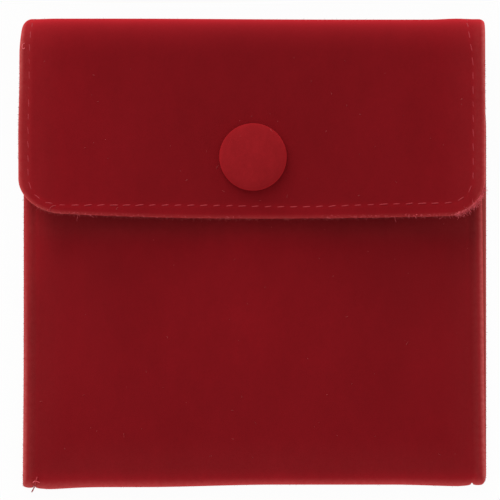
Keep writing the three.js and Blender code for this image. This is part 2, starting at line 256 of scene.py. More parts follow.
def straight_edge_s(x):
    """Where the flap's free edge lies along the strip, before its corners are rounded."""
    bow = of_side(x, FLAP_EDGE_BOW) * (x / of_side(x, FLAP_REACH)) ** 2
    return FLAP_START + fold_centre_y - (flap_edge_y - FLAP_EDGE_PILE + bow)


def flap_edge_s(x):
    """Where the flap's free edge lies along the strip: bowed, with corners that are quarter ellipses."""
    across = of_side(x, FLAP_CORNER_ACROSS)
    into_corner = np.clip((np.abs(x) - of_side(x, FLAP_REACH) + across) / across, 0, 1)
    return straight_edge_s(x) - of_side(x, FLAP_CORNER_ALONG) * (1 - np.sqrt(1 - into_corner**2))


def edge_distance(x, s):
    """Distance along the cloth to the nearest cut edge of the strip."""
    sideways = side_distance(x, s)
    to_free = straight_edge_s(x) - s
    straight = np.minimum(np.minimum(sideways, s - MOUTH), np.where(s > FLAP_START, to_free, sideways))
    across = of_side(x, FLAP_CORNER_ACROSS)
    along = of_side(x, FLAP_CORNER_ALONG)
    over = np.maximum(across - sideways, 0)
    down = np.maximum(along - to_free, 0)
    share = np.maximum(np.hypot(over / across, down / along), SMALLEST_SHARE)
    in_corner = (s > FLAP_START) & (over > 0) & (down > 0)
    rounded_off = np.hypot(over, down) * (1 - share) / share
    return np.maximum(np.where(in_corner, rounded_off, straight), 0)


# The two folds: widths or places across the pouch, and how far each stray goes
BOTTOM_NOTCH = (0.14 * MM, 0.16)
BOTTOM_CORNER_RADIUS = 0.7 * MM
BOTTOM_CORNER_SHARES = (0.2, 1.0)
BOTTOM_LIFT = 0.24 * MM
LEFT_SAG = (-19 * MM, 4 * MM, 0.42 * MM)
LEFT_END_X = -36 * MM
LEFT_END_SAG = (5.5 * MM, 0.38 * MM)
RIGHT_SAG = 0.27 * MM
RIGHT_SAG_RISE = (24 * MM, 36 * MM)
FOLD_DIP = 0.17 * MM
FOLD_DIP_RISE = (-24 * MM, 16 * MM)
FOLD_DIP_FALL = (30 * MM, 35 * MM)


def bottom_fullness(x, s):
    """Share of the bottom fold's reach. It is less at the side seams and at the corners."""
    inward = side_distance(x, s)
    notch = bell(inward - seam_margin(x), *BOTTOM_NOTCH)
    into_corner = np.clip(BOTTOM_CORNER_RADIUS - inward, 0, BOTTOM_CORNER_RADIUS)
    rounding = BOTTOM_CORNER_RADIUS - np.sqrt(BOTTOM_CORNER_RADIUS**2 - into_corner**2)
    return 1 - notch - rounding / bottom_reach * of_side(x, BOTTOM_CORNER_SHARES)


def bottom_sag(x):
    """How much lower than its true place the bottom fold lies. It is lowest on the left."""
    left = fade(x, *LEFT_SAG) + bell(x - LEFT_END_X, *LEFT_END_SAG)
    return left + RIGHT_SAG * smooth(x, *RIGHT_SAG_RISE) - BOTTOM_LIFT


def fold_dip(x):
    """How much the top fold is drawn in right of its middle."""
    return FOLD_DIP * between(x, FOLD_DIP_RISE, FOLD_DIP_FALL)


def strip_point(x, s, offset):
    """Point of the folded strip. offset is measured from the lining's open face outwards."""
    x, s, offset = np.broadcast_arrays(np.asarray(x, float), s, offset)
    turn = math.pi * np.clip(s / FOLD_LENGTH, 0, 1) - math.pi / 2
    radius = fold_radius - wall + offset
    fold_y = fold_centre_y + (radius - fold_dip(x)) * np.cos(turn)
    bottom_turn = math.pi * np.clip((-s - BACK_LENGTH) / BOTTOM_LENGTH, 0, 1) - math.pi / 2
    fall = (bottom_reach - wall + offset) * bottom_fullness(x, s) + bottom_sag(x)
    half_gap = pocket_height(x, bottom_fold_y) / 2
    bottom_z = wall + half_gap + (half_gap + offset) * np.sin(bottom_turn)
    where, y, z = zip(
        (s > FLAP_START, flap_y(s), flap_underside + offset - flap_droop(x, flap_y(s))),
        (s > 0, fold_y, fold_radius + radius * np.sin(turn)),
        (s > -BACK_LENGTH, fold_centre_y + s, wall - offset),
        (s > FRONT_START, bottom_fold_y - fall * np.cos(bottom_turn), bottom_z),
    )
    y = np.select(where, y, front_y(s))
    z = np.select(where, z, wall + pocket_height(x, front_y(s)) + offset)
    return np.stack([x, y, z], axis=-1)


# Faces of the cloth layers, as offsets. A roll, valley or ruffle has its width and its depth or height.
EDGE_HEIGHT = 1.42 * MM
FOLD_EDGE_HEIGHT = 1.51 * MM
FOLD_EDGE_FADE = 3 * MM
PILLOW_REACH = 5 * MM
BODY_ROLL = (1.55 * MM, 0.9 * MM)
FLAP_ROLL = (1.05 * MM, 0.74 * MM)
LINING_ROLL = (0.2 * MM, 0.15 * MM)
BOTTOM_ROLL_SHARE = 0.3
INNER_EDGE = 0.42 * MM
SEAM_VALLEY = (0.5 * MM, 0.14 * MM)
TOPSTITCH_VALLEY = (0.4 * MM, 0.12 * MM)
TOPSTITCH_FADE = 4 * MM
CAP_RUFFLE = (0.9 * MM, 0.12 * MM)
WAVE_HEIGHT = 0.035 * MM
# Slow waves of the velvet: share, radians of the sine for a metre across and along, and at its start
WAVES = ((1, 71, 43, 0.4), (0.7, 39, -118, 2.1), (0.5, 163, 31, 4.0))
# How far from the bottom fold, the top fold and the edges the waves have their full height
WAVE_MARGINS = (8 * MM, 6 * MM, 12 * MM)
INTO_FOLD = (-2 * MM, 4 * MM)


def flapward(s):
    """0 on the body and 1 on the top fold and the flap."""
    return smooth(s, *INTO_FOLD)


def roll_off(e, width, depth):
    """How far a face has curved away at a distance from the cut edge: a quarter of an ellipse."""
    into = np.clip(1 - e / width, 0, 1)
    return depth * (1 - np.sqrt(1 - into**2))


def cap_distance(x, s):
    """Distance outside the cap's rim on the flap, and far away elsewhere."""
    away = np.hypot(x - snap_x, flap_y(s) - snap_y) - cap_radius
    return np.where(s > FLAP_START, np.maximum(away, 0), flap_width)


def cloth_waves(x, s):
    """Slow waves of the velvet on the front and the flap, which die out towards edges and folds."""
    waves = sum(share * np.sin(x * across + s * along + start) for share, across, along, start in WAVES)
    from_bottom, from_fold, from_edge = WAVE_MARGINS
    on_front = fade(s, FRONT_START - from_bottom, FRONT_START)
    on_flap = smooth(s, FLAP_START, FLAP_START + from_fold)
    inside = smooth(edge_distance(x, s), SEAM_MARGIN, from_edge)
    return WAVE_HEIGHT * waves * (on_front + on_flap) * inside


def velvet_outer(x, s):
    """The pile: drawn down along the stitching, rolled over at cut edges and ruffled round the cap."""
    e = edge_distance(x, s)
    on_flap = flapward(s)
    on_fold = between(s, (0, FOLD_EDGE_FADE), (FLAP_START - FOLD_EDGE_FADE, FLAP_START))
    edge = mix(EDGE_HEIGHT, FOLD_EDGE_HEIGHT, on_fold)
    pillow = mix(edge, wall, smooth(e, SEAM_MARGIN, PILLOW_REACH))
    seam = bell(side_distance(x, s) - seam_margin(x), *SEAM_VALLEY)
    topstitch = bell(e - stitch_margin(x, s), *TOPSTITCH_VALLEY)
    topstitch = topstitch * smooth(s, FLAP_START - TOPSTITCH_FADE, FLAP_START)
    ruffle = bell(cap_distance(x, s), *CAP_RUFFLE)
    body_depth = BODY_ROLL[1] * mix(1, BOTTOM_ROLL_SHARE, bell(s - BOTTOM_MIDDLE, BOTTOM_LENGTH / 4))
    roll_depth = mix(body_depth, FLAP_ROLL[1], on_flap)
    roll = roll_off(e, mix(BODY_ROLL[0], FLAP_ROLL[0], on_flap), roll_depth)
    return pillow - mix(seam, topstitch, on_flap) + ruffle - roll + cloth_waves(x, s)


def velvet_inner_face(x, s):
    return mix(INNER_EDGE, velvet_inner, smooth(edge_distance(x, s), SEAM_MARGIN / 2, STIFFENER_MARGIN))


def lining_outer_face(x, s):
    return np.full(np.broadcast(x, s).shape, LINING_THICKNESS)


def lining_inner_face(x, s):
    return roll_off(edge_distance(x, s), *LINING_ROLL)


FACES = {"velvet": (velvet_inner_face, velvet_outer), "lining": (lining_inner_face, lining_outer_face)}

# Lightness of the pile, mostly painted light and shade: painted sheen along the edges and on the two
# folds, painted light across the flap, more on the left, and painted light that lifts the shade round
# the cap and in the topstitch's valley. A glow has its width and share, or the two distances between
# which it fades and its share.
FLAP_TONE = 0.72
BODY_TONE = 0.98
SIDE_GLOW_WIDTH = 16 * MM
SIDE_GLOW_SHARES = (0.6, 0.45)
FLAP_SIDE_GLOW = (1.6 * MM, 0.85)
FREE_EDGE_GLOW = (1.15 * MM, 0.85)
CAP_GLOW = (1.3 * MM, 0.3)
STITCH_GLOW = (0.35 * MM, 0.25)
FOLD_GLOW = (1.2 * MM, 4.2 * MM, 0.5)
BODY_EDGE_GLOW = (0.15 * MM, 1.6 * MM, 1.0)
BOTTOM_GLOW = (0.6 * MM, 4.4 * MM, 1.75)
# Spots of the body painted lighter (painted light) and darker (painted shade): column, row, the two
# widths in millimetres and the share
PAINTED_LIGHT_AND_SHADE_SPOTS = (
    (258, 322, 5.5, 6.5, 0.18),
    (253, 234, 6.0, 3.0, 0.30),
    (92, 262, 8.0, 16.0, -0.34),
    (408, 260, 11.0, 16.0, -0.40),
    (35, 228, 2.0, 8.0, 0.80),
)


# Painted light and painted shade on the body, summed from the spots
def painted_light_and_shade(x, s):
    total = np.zeros(np.broadcast(x, s).shape)
    for column, row, width, height, share in PAINTED_LIGHT_AND_SHADE_SPOTS:
        spot_x, spot_y = from_pixel(column, row)
        total = total + bell(x - spot_x, width * MM, share) * bell(front_y(s) - spot_y, height * MM)
    return total


def painted_light_tone(x, s):
    """Lightness of the pile, as a factor of the velvet's colour: painted sheen, painted light and
    painted shade.
    """
    e = edge_distance(x, s)
    sideways = side_distance(x, s)
    flap = FLAP_TONE + glow(sideways, SIDE_GLOW_WIDTH, across_middle(x, SIDE_GLOW_SHARES))
    flap = flap + np.maximum(glow(sideways, *FLAP_SIDE_GLOW), glow(e, *FREE_EDGE_GLOW))
    flap = flap + fade(np.abs(s - FOLD_LENGTH / 2), *FOLD_GLOW) + glow(cap_distance(x, s), *CAP_GLOW)
    flap = flap + bell(e - stitch_margin(x, s), *STITCH_GLOW)
    bottom = fade(np.abs(s - BOTTOM_MIDDLE), *BOTTOM_GLOW)
    body = BODY_TONE + np.maximum(fade(sideways, *BODY_EDGE_GLOW), bottom) + painted_light_and_shade(x, s)
    return mix(body, flap, flapward(s))


# Shares of the pale rim colour, most of them after the distances between which they fade: pale cut pile
# along the cut edges, less of it near the flap, painted sheen on the two folds, painted light in the
# flap's shadow on the front, and a pale haze along the edges
BODY_RIM_WIDTH = 0.85 * MM
BODY_RIM_TOP = (0.16, 0.52)
BODY_RIM_LOW = (0.50, 0.66)
BODY_RIM_CHANGE = 32 * MM
BOTTOM_RIM = (0, 2.8 * MM, 0.55)
FOLD_RIM = (0, 2.2 * MM, 0.10)
MARGIN_RIM = (1.1 * MM, 2.5 * MM, 0.045)
# Painted light in the flap's shadow on the front: its share, and where it rises and fades below the
# flap's edge
PAINTED_LIGHT_IN_SHADOW = 0.022
SHADE_RISE = (-3 * MM, 0)
SHADE_FALL = (1.0 * MM, 5 * MM)
HAZE_RIM = (2 * MM, 8.5 * MM, 0.015)
HAZE_INSET = 2 * MM
FLAP_RIM_START = 10 * MM
# Line and soft band along the flap's edge, each with its share away from the corners
FLAP_RIMS = ((0.02 * MM, 0.26 * MM, 0.95, 0.18), (0.1 * MM, 0.8 * MM, 0.25, 0.4))
# The left and the right corner: where they begin and end across the flap, and their share
RIM_CORNERS = ((24 * MM, 36 * MM, 0.45), (30 * MM, 40.5 * MM, 1))
RAW_EDGE = (0.3 * MM, 1.1 * MM)


def pale_pile_and_painted_light(x, s):
    """Share of the pale rim colour: pale cut pile in a soft band along the edges and a line round the
    flap's corners, painted sheen on the two folds, and painted light in the flap's shadow on the front.
    """
    e = edge_distance(x, s)
    sideways = side_distance(x, s)
    from_bottom = np.abs(s - BOTTOM_MIDDLE)
    below_flap = flap_edge_y - front_y(s)
    corner = of_side(x, [share * smooth(np.abs(x), start, end) for start, end, share in RIM_CORNERS])
    flap = sum(fade(e, low, high, share * mix(rest, 1, corner)) for low, high, share, rest in FLAP_RIMS)
    down = smooth(below_flap, 0, BODY_RIM_CHANGE)
    edges = mix(across_middle(x, BODY_RIM_TOP), across_middle(x, BODY_RIM_LOW), down)
    body = np.maximum(fade(e, 0, BODY_RIM_WIDTH, edges), fade(from_bottom, *BOTTOM_RIM))
    # Painted light: a paler colour in the flap's shadow, just below its edge on the front
    shade = PAINTED_LIGHT_IN_SHADOW * between(below_flap, SHADE_RISE, SHADE_FALL)
    body = body + np.where(s < FRONT_START, shade, 0)
    rim = mix(body, flap, smooth(s, FLAP_START, FLAP_START + FLAP_RIM_START))
    rim = rim + fade(sideways, *MARGIN_RIM) + fade(np.abs(s - FOLD_LENGTH / 2), *FOLD_RIM)
    rim = rim + fade(np.minimum(sideways, from_bottom - HAZE_INSET), *HAZE_RIM)
    return np.clip(rim, 0, 1)


def raw_edge(x, s):
    """Share of the lining's paler, frayed edge, whose colour is also painted light where the front panel
    shades the back's edge.
    """
    return fade(edge_distance(x, s), *RAW_EDGE)


# Stitching
THREAD_RADIUS = 0.092 * MM
THREAD_SIDES = 8
THREAD_TWIST = (0.7, 0.14)
STITCH_PITCH = 12.8 * PIXEL
SIDE_STITCH_PITCHES = (13.8 * PIXEL, 14.2 * PIXEL)
SIDE_STITCH_MARGINS = (1.68 * MM, 2.10 * MM)
SIDE_STITCH_REACH = 7 * MM
SIDE_STITCH_SINK = 0.60
SIDE_STITCH_POINTS = 30
RIGHT_STITCH_DRIFT = (FLAP_START - 7 * MM, FLAP_START + 2 * MM, 0.95 * MM)
CORNER_STITCH_REACH = (flap_width / 2 - 7 * MM, flap_width / 2 - 3 * MM)
CORNER_STITCH_POINTS = 9
BELOW_FOLD = FLAP_START + 5 * MM
FREE_STITCH_ROW = 205.1
FREE_STITCH_POINTS = 40
FREE_STITCH_DIP_X = 7 * MM
FREE_STITCH_DIP = (11 * MM, 0.30 * MM)
FREE_STITCH_RISE = 0.36 * MM
FREE_STITCH_RISE_X = (8 * MM, 36 * MM)
SEAM_SINK = 0.14 * MM
SEAM_MOUTH_GAP = 1 * MM
# Spread of a stitch's length, lean and depth, and how its two ends dive into the cloth
STITCH_SHARE = (0.74, 0.94)
STITCH_TILT = math.radians(-4.5)
STITCH_LEANS = (0.2, 1.8)
STITCH_DEPTHS = (0, 0.9)
STITCH_HEIGHTS = (-2.2 * THREAD_RADIUS, 0.6 * THREAD_RADIUS)
STITCH_DIVE = 0.3
STITCH_STEPS = 9


def free_stitch_s(x):
    """Where the topstitch crosses the flap: in a nearly straight line, though the edge is bowed."""
    dip = bell(x - FREE_STITCH_DIP_X, *FREE_STITCH_DIP)
    rise = FREE_STITCH_RISE * smooth(x, *FREE_STITCH_RISE_X)
    return flap_place(from_pixel(0, FREE_STITCH_ROW)[1]) + dip - rise


def stitch_margin(x, s):
    """Distance from the cut edge to the topstitch. On the right it drifts in at the fold."""
    side = of_side(x, (SIDE_STITCH_MARGINS[0], SIDE_STITCH_MARGINS[1] + fade(s, *RIGHT_STITCH_DRIFT)))
    return mix(straight_edge_s(x) - free_stitch_s(x), side, smooth(np.abs(x), *CORNER_STITCH_REACH))


def resampled(points, pitch):
    """Points at even distances along a line. The pitch may be one length or one for each step."""
    points = np.asarray(points, float)
    steps = np.linalg.norm(np.diff(points, axis=0), axis=1)
    along = np.concatenate([[0], np.cumsum(steps / pitch)])
    count = max(int(round(along[-1])), 1)
    places = np.linspace(0, along[-1], count + 1)
    return np.stack([np.interp(places, along, column) for column in points.T], axis=-1)


def side_line(side, start, end):
    """Places of the side stitching between two places along the strip, on the left (-1) or right (1)."""
    rows = np.linspace(start, end, SIDE_STITCH_POINTS)
    edge = np.full(SIDE_STITCH_POINTS, side * flap_width / 2)
    margin = np.where(rows > 0, stitch_margin(edge, rows), seam_margin(edge))
    return np.stack([middle(rows) + side * (half_width(rows) - margin), rows], axis=-1)


def stitch_corner(side):
    """The topstitch round a corner of the flap: a quarter ellipse inside the one that the cloth has."""
    turns = np.linspace(0, math.pi / 2, CORNER_STITCH_POINTS)[1:-1]
    centre = side * (of_side(side, FLAP_REACH) - of_side(side, FLAP_CORNER_ACROSS))
    centre_s = straight_edge_s(centre) - of_side(side, FLAP_CORNER_ALONG)
    across = of_side(side, FLAP_CORNER_ACROSS) - stitch_margin(side * flap_width / 2, BELOW_FOLD)
    along = free_stitch_s(centre) - centre_s
    return np.stack([centre + side * across * np.cos(turns), centre_s + along * np.sin(turns)], axis=-1)


def flap_stitch_line():
    """The topstitch of the flap: down the left side, along the free edge and up the right side."""
    left = side_line(-1, FLAP_START, flap_edge_s(-FLAP_REACH[0]))
    right = side_line(1, FLAP_START, flap_edge_s(FLAP_REACH[1]))
    low = FLAP_CORNER_ACROSS[0] - FLAP_REACH[0]
    high = FLAP_REACH[1] - FLAP_CORNER_ACROSS[1]
    across = np.linspace(low, high, FREE_STITCH_POINTS)
    free = np.stack([across, free_stitch_s(across)], axis=-1)
    line = np.concatenate([left, stitch_corner(-1), free, stitch_corner(1)[::-1], right[::-1]])
    x = (line[1:, 0] + line[:-1, 0]) / 2
    at_side = np.abs(x) > flap_width / 2 - SIDE_STITCH_REACH
    return resampled(line, np.where(at_side, of_side(x, SIDE_STITCH_PITCHES), STITCH_PITCH))


# Thin round pieces
NEARLY_UPRIGHT = 0.05
HAIR_STEPS = 5
HAIR_SIDES = 3
HAIR_TAPER = 0.6


def unit(vectors):
    return vectors / np.linalg.norm(vectors, axis=1)[:, None]


def tube_rings(centres, radii, sides, twist=0.0, flatness=0.0):
    """Rings of points round a line of centres, for a tube whose section may turn along it."""
    ahead = unit(np.gradient(centres, axis=0))
    across = np.cross(ahead, [0.0, 0.0, 1.0])
    upright = np.linalg.norm(across, axis=1) < NEARLY_UPRIGHT
    across[upright] = np.cross(ahead[upright], [1.0, 0.0, 0.0])
    across = unit(across)
    over = np.cross(across, ahead)
    turns = np.arange(sides) * 2 * math.pi / sides
    bulge = 1 + flatness * np.cos(2 * (turns - twist * np.arange(len(centres))[:, None]))
    rings = np.cos(turns)[:, None] * across[:, None] + np.sin(turns)[:, None] * over[:, None]
    return centres[:, None] + rings * (radii[:, None] * bulge)[..., None]


def new_object(name, data):
    placed = bpy.data.objects.new(name, data)
    bpy.context.scene.collection.objects.link(placed)
    return placed


def new_piece(name, verts, faces, material):
    mesh = bpy.data.meshes.new(name)
    mesh.from_pydata([tuple(v) for v in verts], [], faces)
    mesh.polygons.foreach_set("use_smooth", [True] * len(mesh.polygons))
    mesh.materials.append(material)
    piece = new_object(name, mesh)
    return piece


def grid_faces(grid, flipped=False):
    """Faces between the points of a grid, which holds their numbers."""
    corners = [grid[:-1, :-1], grid[:-1, 1:], grid[1:, 1:], grid[1:, :-1]]
    if flipped:
        corners[1:] = corners[:0:-1]
    return np.stack([corner.ravel() for corner in corners], axis=-1).tolist()


def round_faces(grid):
    """Faces of a grid whose last column meets its first."""
    return grid_faces(np.column_stack([grid, grid[:, 0]]))


def tubes(name, all_rings, material):
    """One piece of closed tubes, each given as its rings of points."""
    verts = []
    faces = []
    for rings in all_rings:
        count, sides, _ = rings.shape
        grid = len(verts) + np.arange(count * sides).reshape(count, sides)
        verts.extend(rings.reshape(-1, 3))
        faces.extend([*round_faces(grid), grid[0, ::-1].tolist(), grid[-1].tolist()])
    return new_piece(name, verts, faces, material)


def stitches(name, holes, face, outward, material, sink=0.0):
    """Dashes of thread between pairs of holes, each diving into the cloth at its two ends. No two are
    quite alike: they lean and lie in the pile a little more or less."""
    rng = np.random.default_rng(len(holes))
    shares = np.linspace(0, 1, STITCH_STEPS)
    proud = mix(*STITCH_HEIGHTS, smooth(np.minimum(shares, 1 - shares), 0, STITCH_DIVE))
    radii = np.full(STITCH_STEPS, THREAD_RADIUS)
    dashes = []
    for first, second in zip(holes[:-1], holes[1:]):
        run = second - first
        lean = math.tan(STITCH_TILT * rng.uniform(*STITCH_LEANS))
        across = np.array([-run[1], run[0]]) * lean / 2
        at_side = abs(first[0]) > flap_width / 2 - SIDE_STITCH_REACH
        depth = sink + (rng.uniform(*STITCH_DEPTHS) + SIDE_STITCH_SINK * at_side) * THREAD_RADIUS
        share = rng.uniform(*STITCH_SHARE)
        begin = first + run * (0.5 - share / 2) - across
        end = first + run * (0.5 + share / 2) + across
        x, s = mix(begin[:, None], end[:, None], shares)
        centres = strip_point(x, s, face(x, s) + outward * (proud - depth))
        dashes.append(tube_rings(centres, radii, THREAD_SIDES, *THREAD_TWIST))
    return tubes(name, dashes, material)


def fibres(name, roots, aims, lengths, radius, curl, rng, material):
    """Fine tapering hairs, each from a root along its aim and bent a little."""
    shares = np.linspace(0, 1, HAIR_STEPS)[:, None]
    radii = radius * (1 - HAIR_TAPER * shares[:, 0])
    hairs = []
    for root, aim, length in zip(roots, aims, lengths):
        bend = rng.normal(size=3) * curl
        centres = root + shares * length * aim + shares**2 * length * bend
        hairs.append(tube_rings(centres, radii, HAIR_SIDES))
    return tubes(name, hairs, material)


# Divisions of the cloth: the widest step, and the width and number of the crowded ones at a cut edge
BODY_COLUMNS = (0.9 * MM, 5.5 * MM, 42)
FLAP_COLUMNS = (0.8 * MM, 8 * MM, 42)
FRONT_ROWS = (0.8 * MM, 3 * MM, 18)
FLAP_ROWS = (0.6 * MM, 4 * MM, 26)
BOTTOM_ROWS = 41
BACK_ROWS = 64
FOLD_ROWS = 17
FOLD_CROWDING = 0.8
CROWDING = 1.7
JOINT_ROW = 0.01 * MM


def crowded(low, high, step, width, count, at_low=True, at_high=True):
    """Places from low to high, closer and closer together towards the named ends."""
    crowd = width * np.linspace(0, 1, count + 1)[:-1] ** CROWDING
    start = low + width if at_low else low
    end = high - width if at_high else high
    places = [np.linspace(start, end, max(int(round((end - start) / step)), 1) + 1)]
    if at_low:
        places.insert(0, low + crowd)
    if at_high:
        places.append(high - crowd[::-1])
    return np.concatenate(places)


def joined(rows, at_start=True, at_end=True):
    """Adds a row close to an end that meets another piece, so that its end wall bends no shading."""
    first = [rows[0], rows[0] + JOINT_ROW] if at_start else [rows[0]]
    last = [rows[-1] - JOINT_ROW, rows[-1]] if at_end else [rows[-1]]
    return np.concatenate([first, rows[1:-1], last])


def store(piece, name, kind, key, values):
    """Keeps values on a piece's points, for its material."""
    piece.data.attributes.new(name, kind, "POINT").data.foreach_set(key, values.ravel())


def cloth_solid(name, shares, rows, kind, material, cut_start, cut_end):
    """Closed layer of the strip. shares run across it from -1 to 1, and rows has a column of places
    along the strip for each of them. Where an end isn't cut, the strip goes on in the next piece, so
    its end wall doesn't bend the shading."""
    x = middle(rows) + shares[:, None] * half_width(rows)
    verts = [strip_point(x, rows, face(x, rows)).reshape(-1, 3) for face in FACES[kind]]
    grids = np.arange(2 * rows.size).reshape(2, *rows.shape)
    sides = [
        grid_faces(grids[:, :, 0], flipped=True),
        grid_faces(grids[:, :, -1]),
        grid_faces(grids[:, 0]),
        grid_faces(grids[:, -1], flipped=True),
        grid_faces(grids[1]),
        grid_faces(grids[0], flipped=True),
    ]
    piece = new_piece(name, np.concatenate(verts), sum(sides, []), material)
    smoothness = [cut_start, cut_end, True, True, True, True]
    flags = [flag for flag, side in zip(smoothness, sides) for _ in side]
    piece.data.polygons.foreach_set("use_smooth", flags)
    flat = np.stack([x, rows, np.zeros_like(x)], axis=-1).reshape(-1, 3)
    flat = np.concatenate([flat + [0, 0, velvet_thickness], flat])
    store(piece, "cloth", "FLOAT_VECTOR", "vector", flat)
    # Painted light and shade ride on the stored tone, and painted sheen with the pale cut pile on the
    # velvet's rim
    pale = pale_pile_and_painted_light if kind == "velvet" else raw_edge
    store(piece, "tone", "FLOAT", "value", np.tile(painted_light_tone(x, rows).ravel(), 2))
    store(piece, "rim", "FLOAT", "value", np.tile(pale(x, rows).ravel(), 2))
    return piece


def straight_layer(name, rows, kind, material, cut_start):
    """Piece of the body or the top fold, whose rows run straight across the strip."""
    half = body_width / 2
    shares = crowded(-half, half, *BODY_COLUMNS) / half
    rows = np.tile(rows, (len(shares), 1))
    return cloth_solid(name, shares, rows, kind, material, cut_start, False)


def body_layer(kind, material):
    front = crowded(MOUTH, FRONT_START, *FRONT_ROWS, at_high=False)
    bottom = np.linspace(FRONT_START, -BACK_LENGTH, BOTTOM_ROWS)[1:-1]
    back = np.linspace(-BACK_LENGTH, 0, BACK_ROWS)
    rows = joined(np.concatenate([front, bottom, back]), at_start=False)
    return straight_layer(f"pouch_{kind}", rows, kind, material, True)


def fold_layer(number, kind, material):
    """One of the four pieces of the top fold, which meet at the middles of the fold's strips."""
    even = np.linspace(0, 1, FOLD_ROWS)
    crowding = (1 - np.cos(math.pi * even)) / 2
    rows = joined(FOLD_PIECE * (number + mix(even, crowding, FOLD_CROWDING)))
    return straight_layer(f"top_fold_{kind}_{number + 1}", rows, kind, material, False)


def flap_layer(kind, material):
    across = crowded(-FLAP_REACH[0], FLAP_REACH[1], *FLAP_COLUMNS)
    shares = (across - middle(FULL_FLAP)) / half_width(FULL_FLAP)
    lengths = flap_edge_s(across) - FLAP_START
    places = joined(crowded(0, lengths.max(), *FLAP_ROWS, at_low=False), at_end=False) / lengths.max()
    rows = FLAP_START + places[None, :] * lengths[:, None]
    return cloth_solid(f"flap_{kind}_cloth", shares, rows, kind, material, False, True)


# Materials, with the darkest and the lightest colour of each
VELVET = ((0.090, 0.0015, 0.0030), (0.112, 0.0022, 0.0042))
# Pale cut pile, also the colour of the painted sheen on the folds and the painted light below the flap
VELVET_RIM = (0.66, 0.20, 0.18, 1)
CAP_VELVET = ((0.225, 0.0082, 0.0108), (0.265, 0.0103, 0.0136))
SHEEN_TINT = (1.0, 0.040, 0.055, 1)
LINING = ((0.125, 0.006, 0.008), (0.16, 0.009, 0.011))
# The lining's pale raw edge, made lighter still as painted light where the front panel shades it
LINING_EDGE = (0.62, 0.10, 0.085, 1)
LINING_EDGE_SHARE = 0.8
THREAD = ((0.33, 0.025, 0.034), (0.47, 0.047, 0.057))
LOOSE_PILE = ((0.70, 0.09, 0.11), (0.95, 0.18, 0.21))
SHORT_PILE = ((0.30, 0.03, 0.035), (0.45, 0.07, 0.07))
LINT = ((0.40, 0.05, 0.055), (0.62, 0.13, 0.13))
STIFFENER = ((0.24, 0.23, 0.22), (0.34, 0.33, 0.31))
NICKEL = ((0.29, 0.285, 0.275), (0.41, 0.405, 0.39))
SPRING = ((0.38, 0.38, 0.39), (0.52, 0.52, 0.53))
WORN_GLOSS = 0.15
# Places of a mix node's sockets for colours
MIX_SHARE, MIX_FIRST, MIX_SECOND, MIX_RESULT = 0, 6, 7, 2


def new_material(name):
    material = bpy.data.materials.new(name)
    material.use_nodes = True
    material.node_tree.nodes.clear()
    return material, material.node_tree


def add(tree, kind, inputs=None, **settings):
    """A new node. Each of its inputs is another node's output or a value."""
    node = tree.nodes.new(kind)
    for name, value in settings.items():
        setattr(node, name, value)
    for name, value in (inputs or {}).items():
        if isinstance(value, bpy.types.NodeSocket):
            tree.links.new(value, node.inputs[name])
        else:
            node.inputs[name].default_value = value
    return node


def calculated(tree, operation, first, second, kind="ShaderNodeMath"):
    return add(tree, kind, {0: first, 1: second}, operation=operation).outputs[0]


def grey(share):
    return (share, share, share)


def stored(tree, name, output="Fac"):
    """A value that the cloth's points have."""
    return add(tree, "ShaderNodeAttribute", attribute_name=name).outputs[output]


def scaled_place(tree, source, stretch):
    stretch = [share / MM for share in stretch]
    return calculated(tree, "MULTIPLY", source, stretch, "ShaderNodeVectorMath")


def cloth_place(tree, stretch=(1, 1, 1)):
    """Place on the flat cloth in millimetres, which doesn't change as the cloth folds."""
    return scaled_place(tree, stored(tree, "cloth", "Vector"), stretch)


def object_place(tree, stretch=(1, 1, 1)):
    """Place on a rigid piece in millimetres."""
    return scaled_place(tree, add(tree, "ShaderNodeTexCoord").outputs["Object"], stretch)


def noise(tree, place, scale, detail=2.0, roughness=0.5):
    inputs = {"Vector": place, "Scale": scale, "Detail": detail, "Roughness": roughness}
    return add(tree, "ShaderNodeTexNoise", inputs).outputs["Fac"]


def ramp(tree, value, low, high, colours):
    node = add(tree, "ShaderNodeValToRGB", {"Fac": value})
    for stop, position, colour in zip(node.color_ramp.elements, (low, high), colours):
        stop.position = position
        stop.color = (*colour, 1)
    return node.outputs["Color"]


def mixed(tree, first, second, share, blend="MIX"):
    inputs = {MIX_SHARE: share, MIX_FIRST: first, MIX_SECOND: second}
    node = add(tree, "ShaderNodeMix", inputs, data_type="RGBA", blend_type=blend)
    return node.outputs[MIX_RESULT]


def speckled(tree, colour, value, depth):
    """Lightens and darkens a colour by a share, from a value of about 0.5."""
    shades = ramp(tree, value, 0.28, 0.72, (grey(1 - depth), grey(1 + depth)))
    return mixed(tree, colour, shades, 1.0, "MULTIPLY")


def bumped(tree, *heights):
    """Bump nodes in a row, from (height, distance, strength)."""
    inputs = {}
    for height, distance, strength in heights:
        inputs.update({"Height": height, "Distance": distance, "Strength": strength})
        inputs["Normal"] = add(tree, "ShaderNodeBump", inputs).outputs["Normal"]
    return inputs["Normal"]


def shader(tree, **inputs):
    """The surface of a material. The names of inputs have _ for a space."""
    inputs = {name.replace("_", " "): value for name, value in inputs.items()}
    surface = add(tree, "ShaderNodeBsdfPrincipled", inputs)
    add(tree, "ShaderNodeOutputMaterial", {"Surface": surface.outputs["BSDF"]})


def cloth_shader(tree, colour, normal, rough, gloss, **sheen):
    """Surface of cloth or thread, whose sheen is the light that its loose fibres catch."""
    base = {"Base_Color": colour, "Normal": normal, "Roughness": rough, "Specular_IOR_Level": gloss}
    shader(tree, **base, **sheen, Sheen_Tint=SHEEN_TINT)


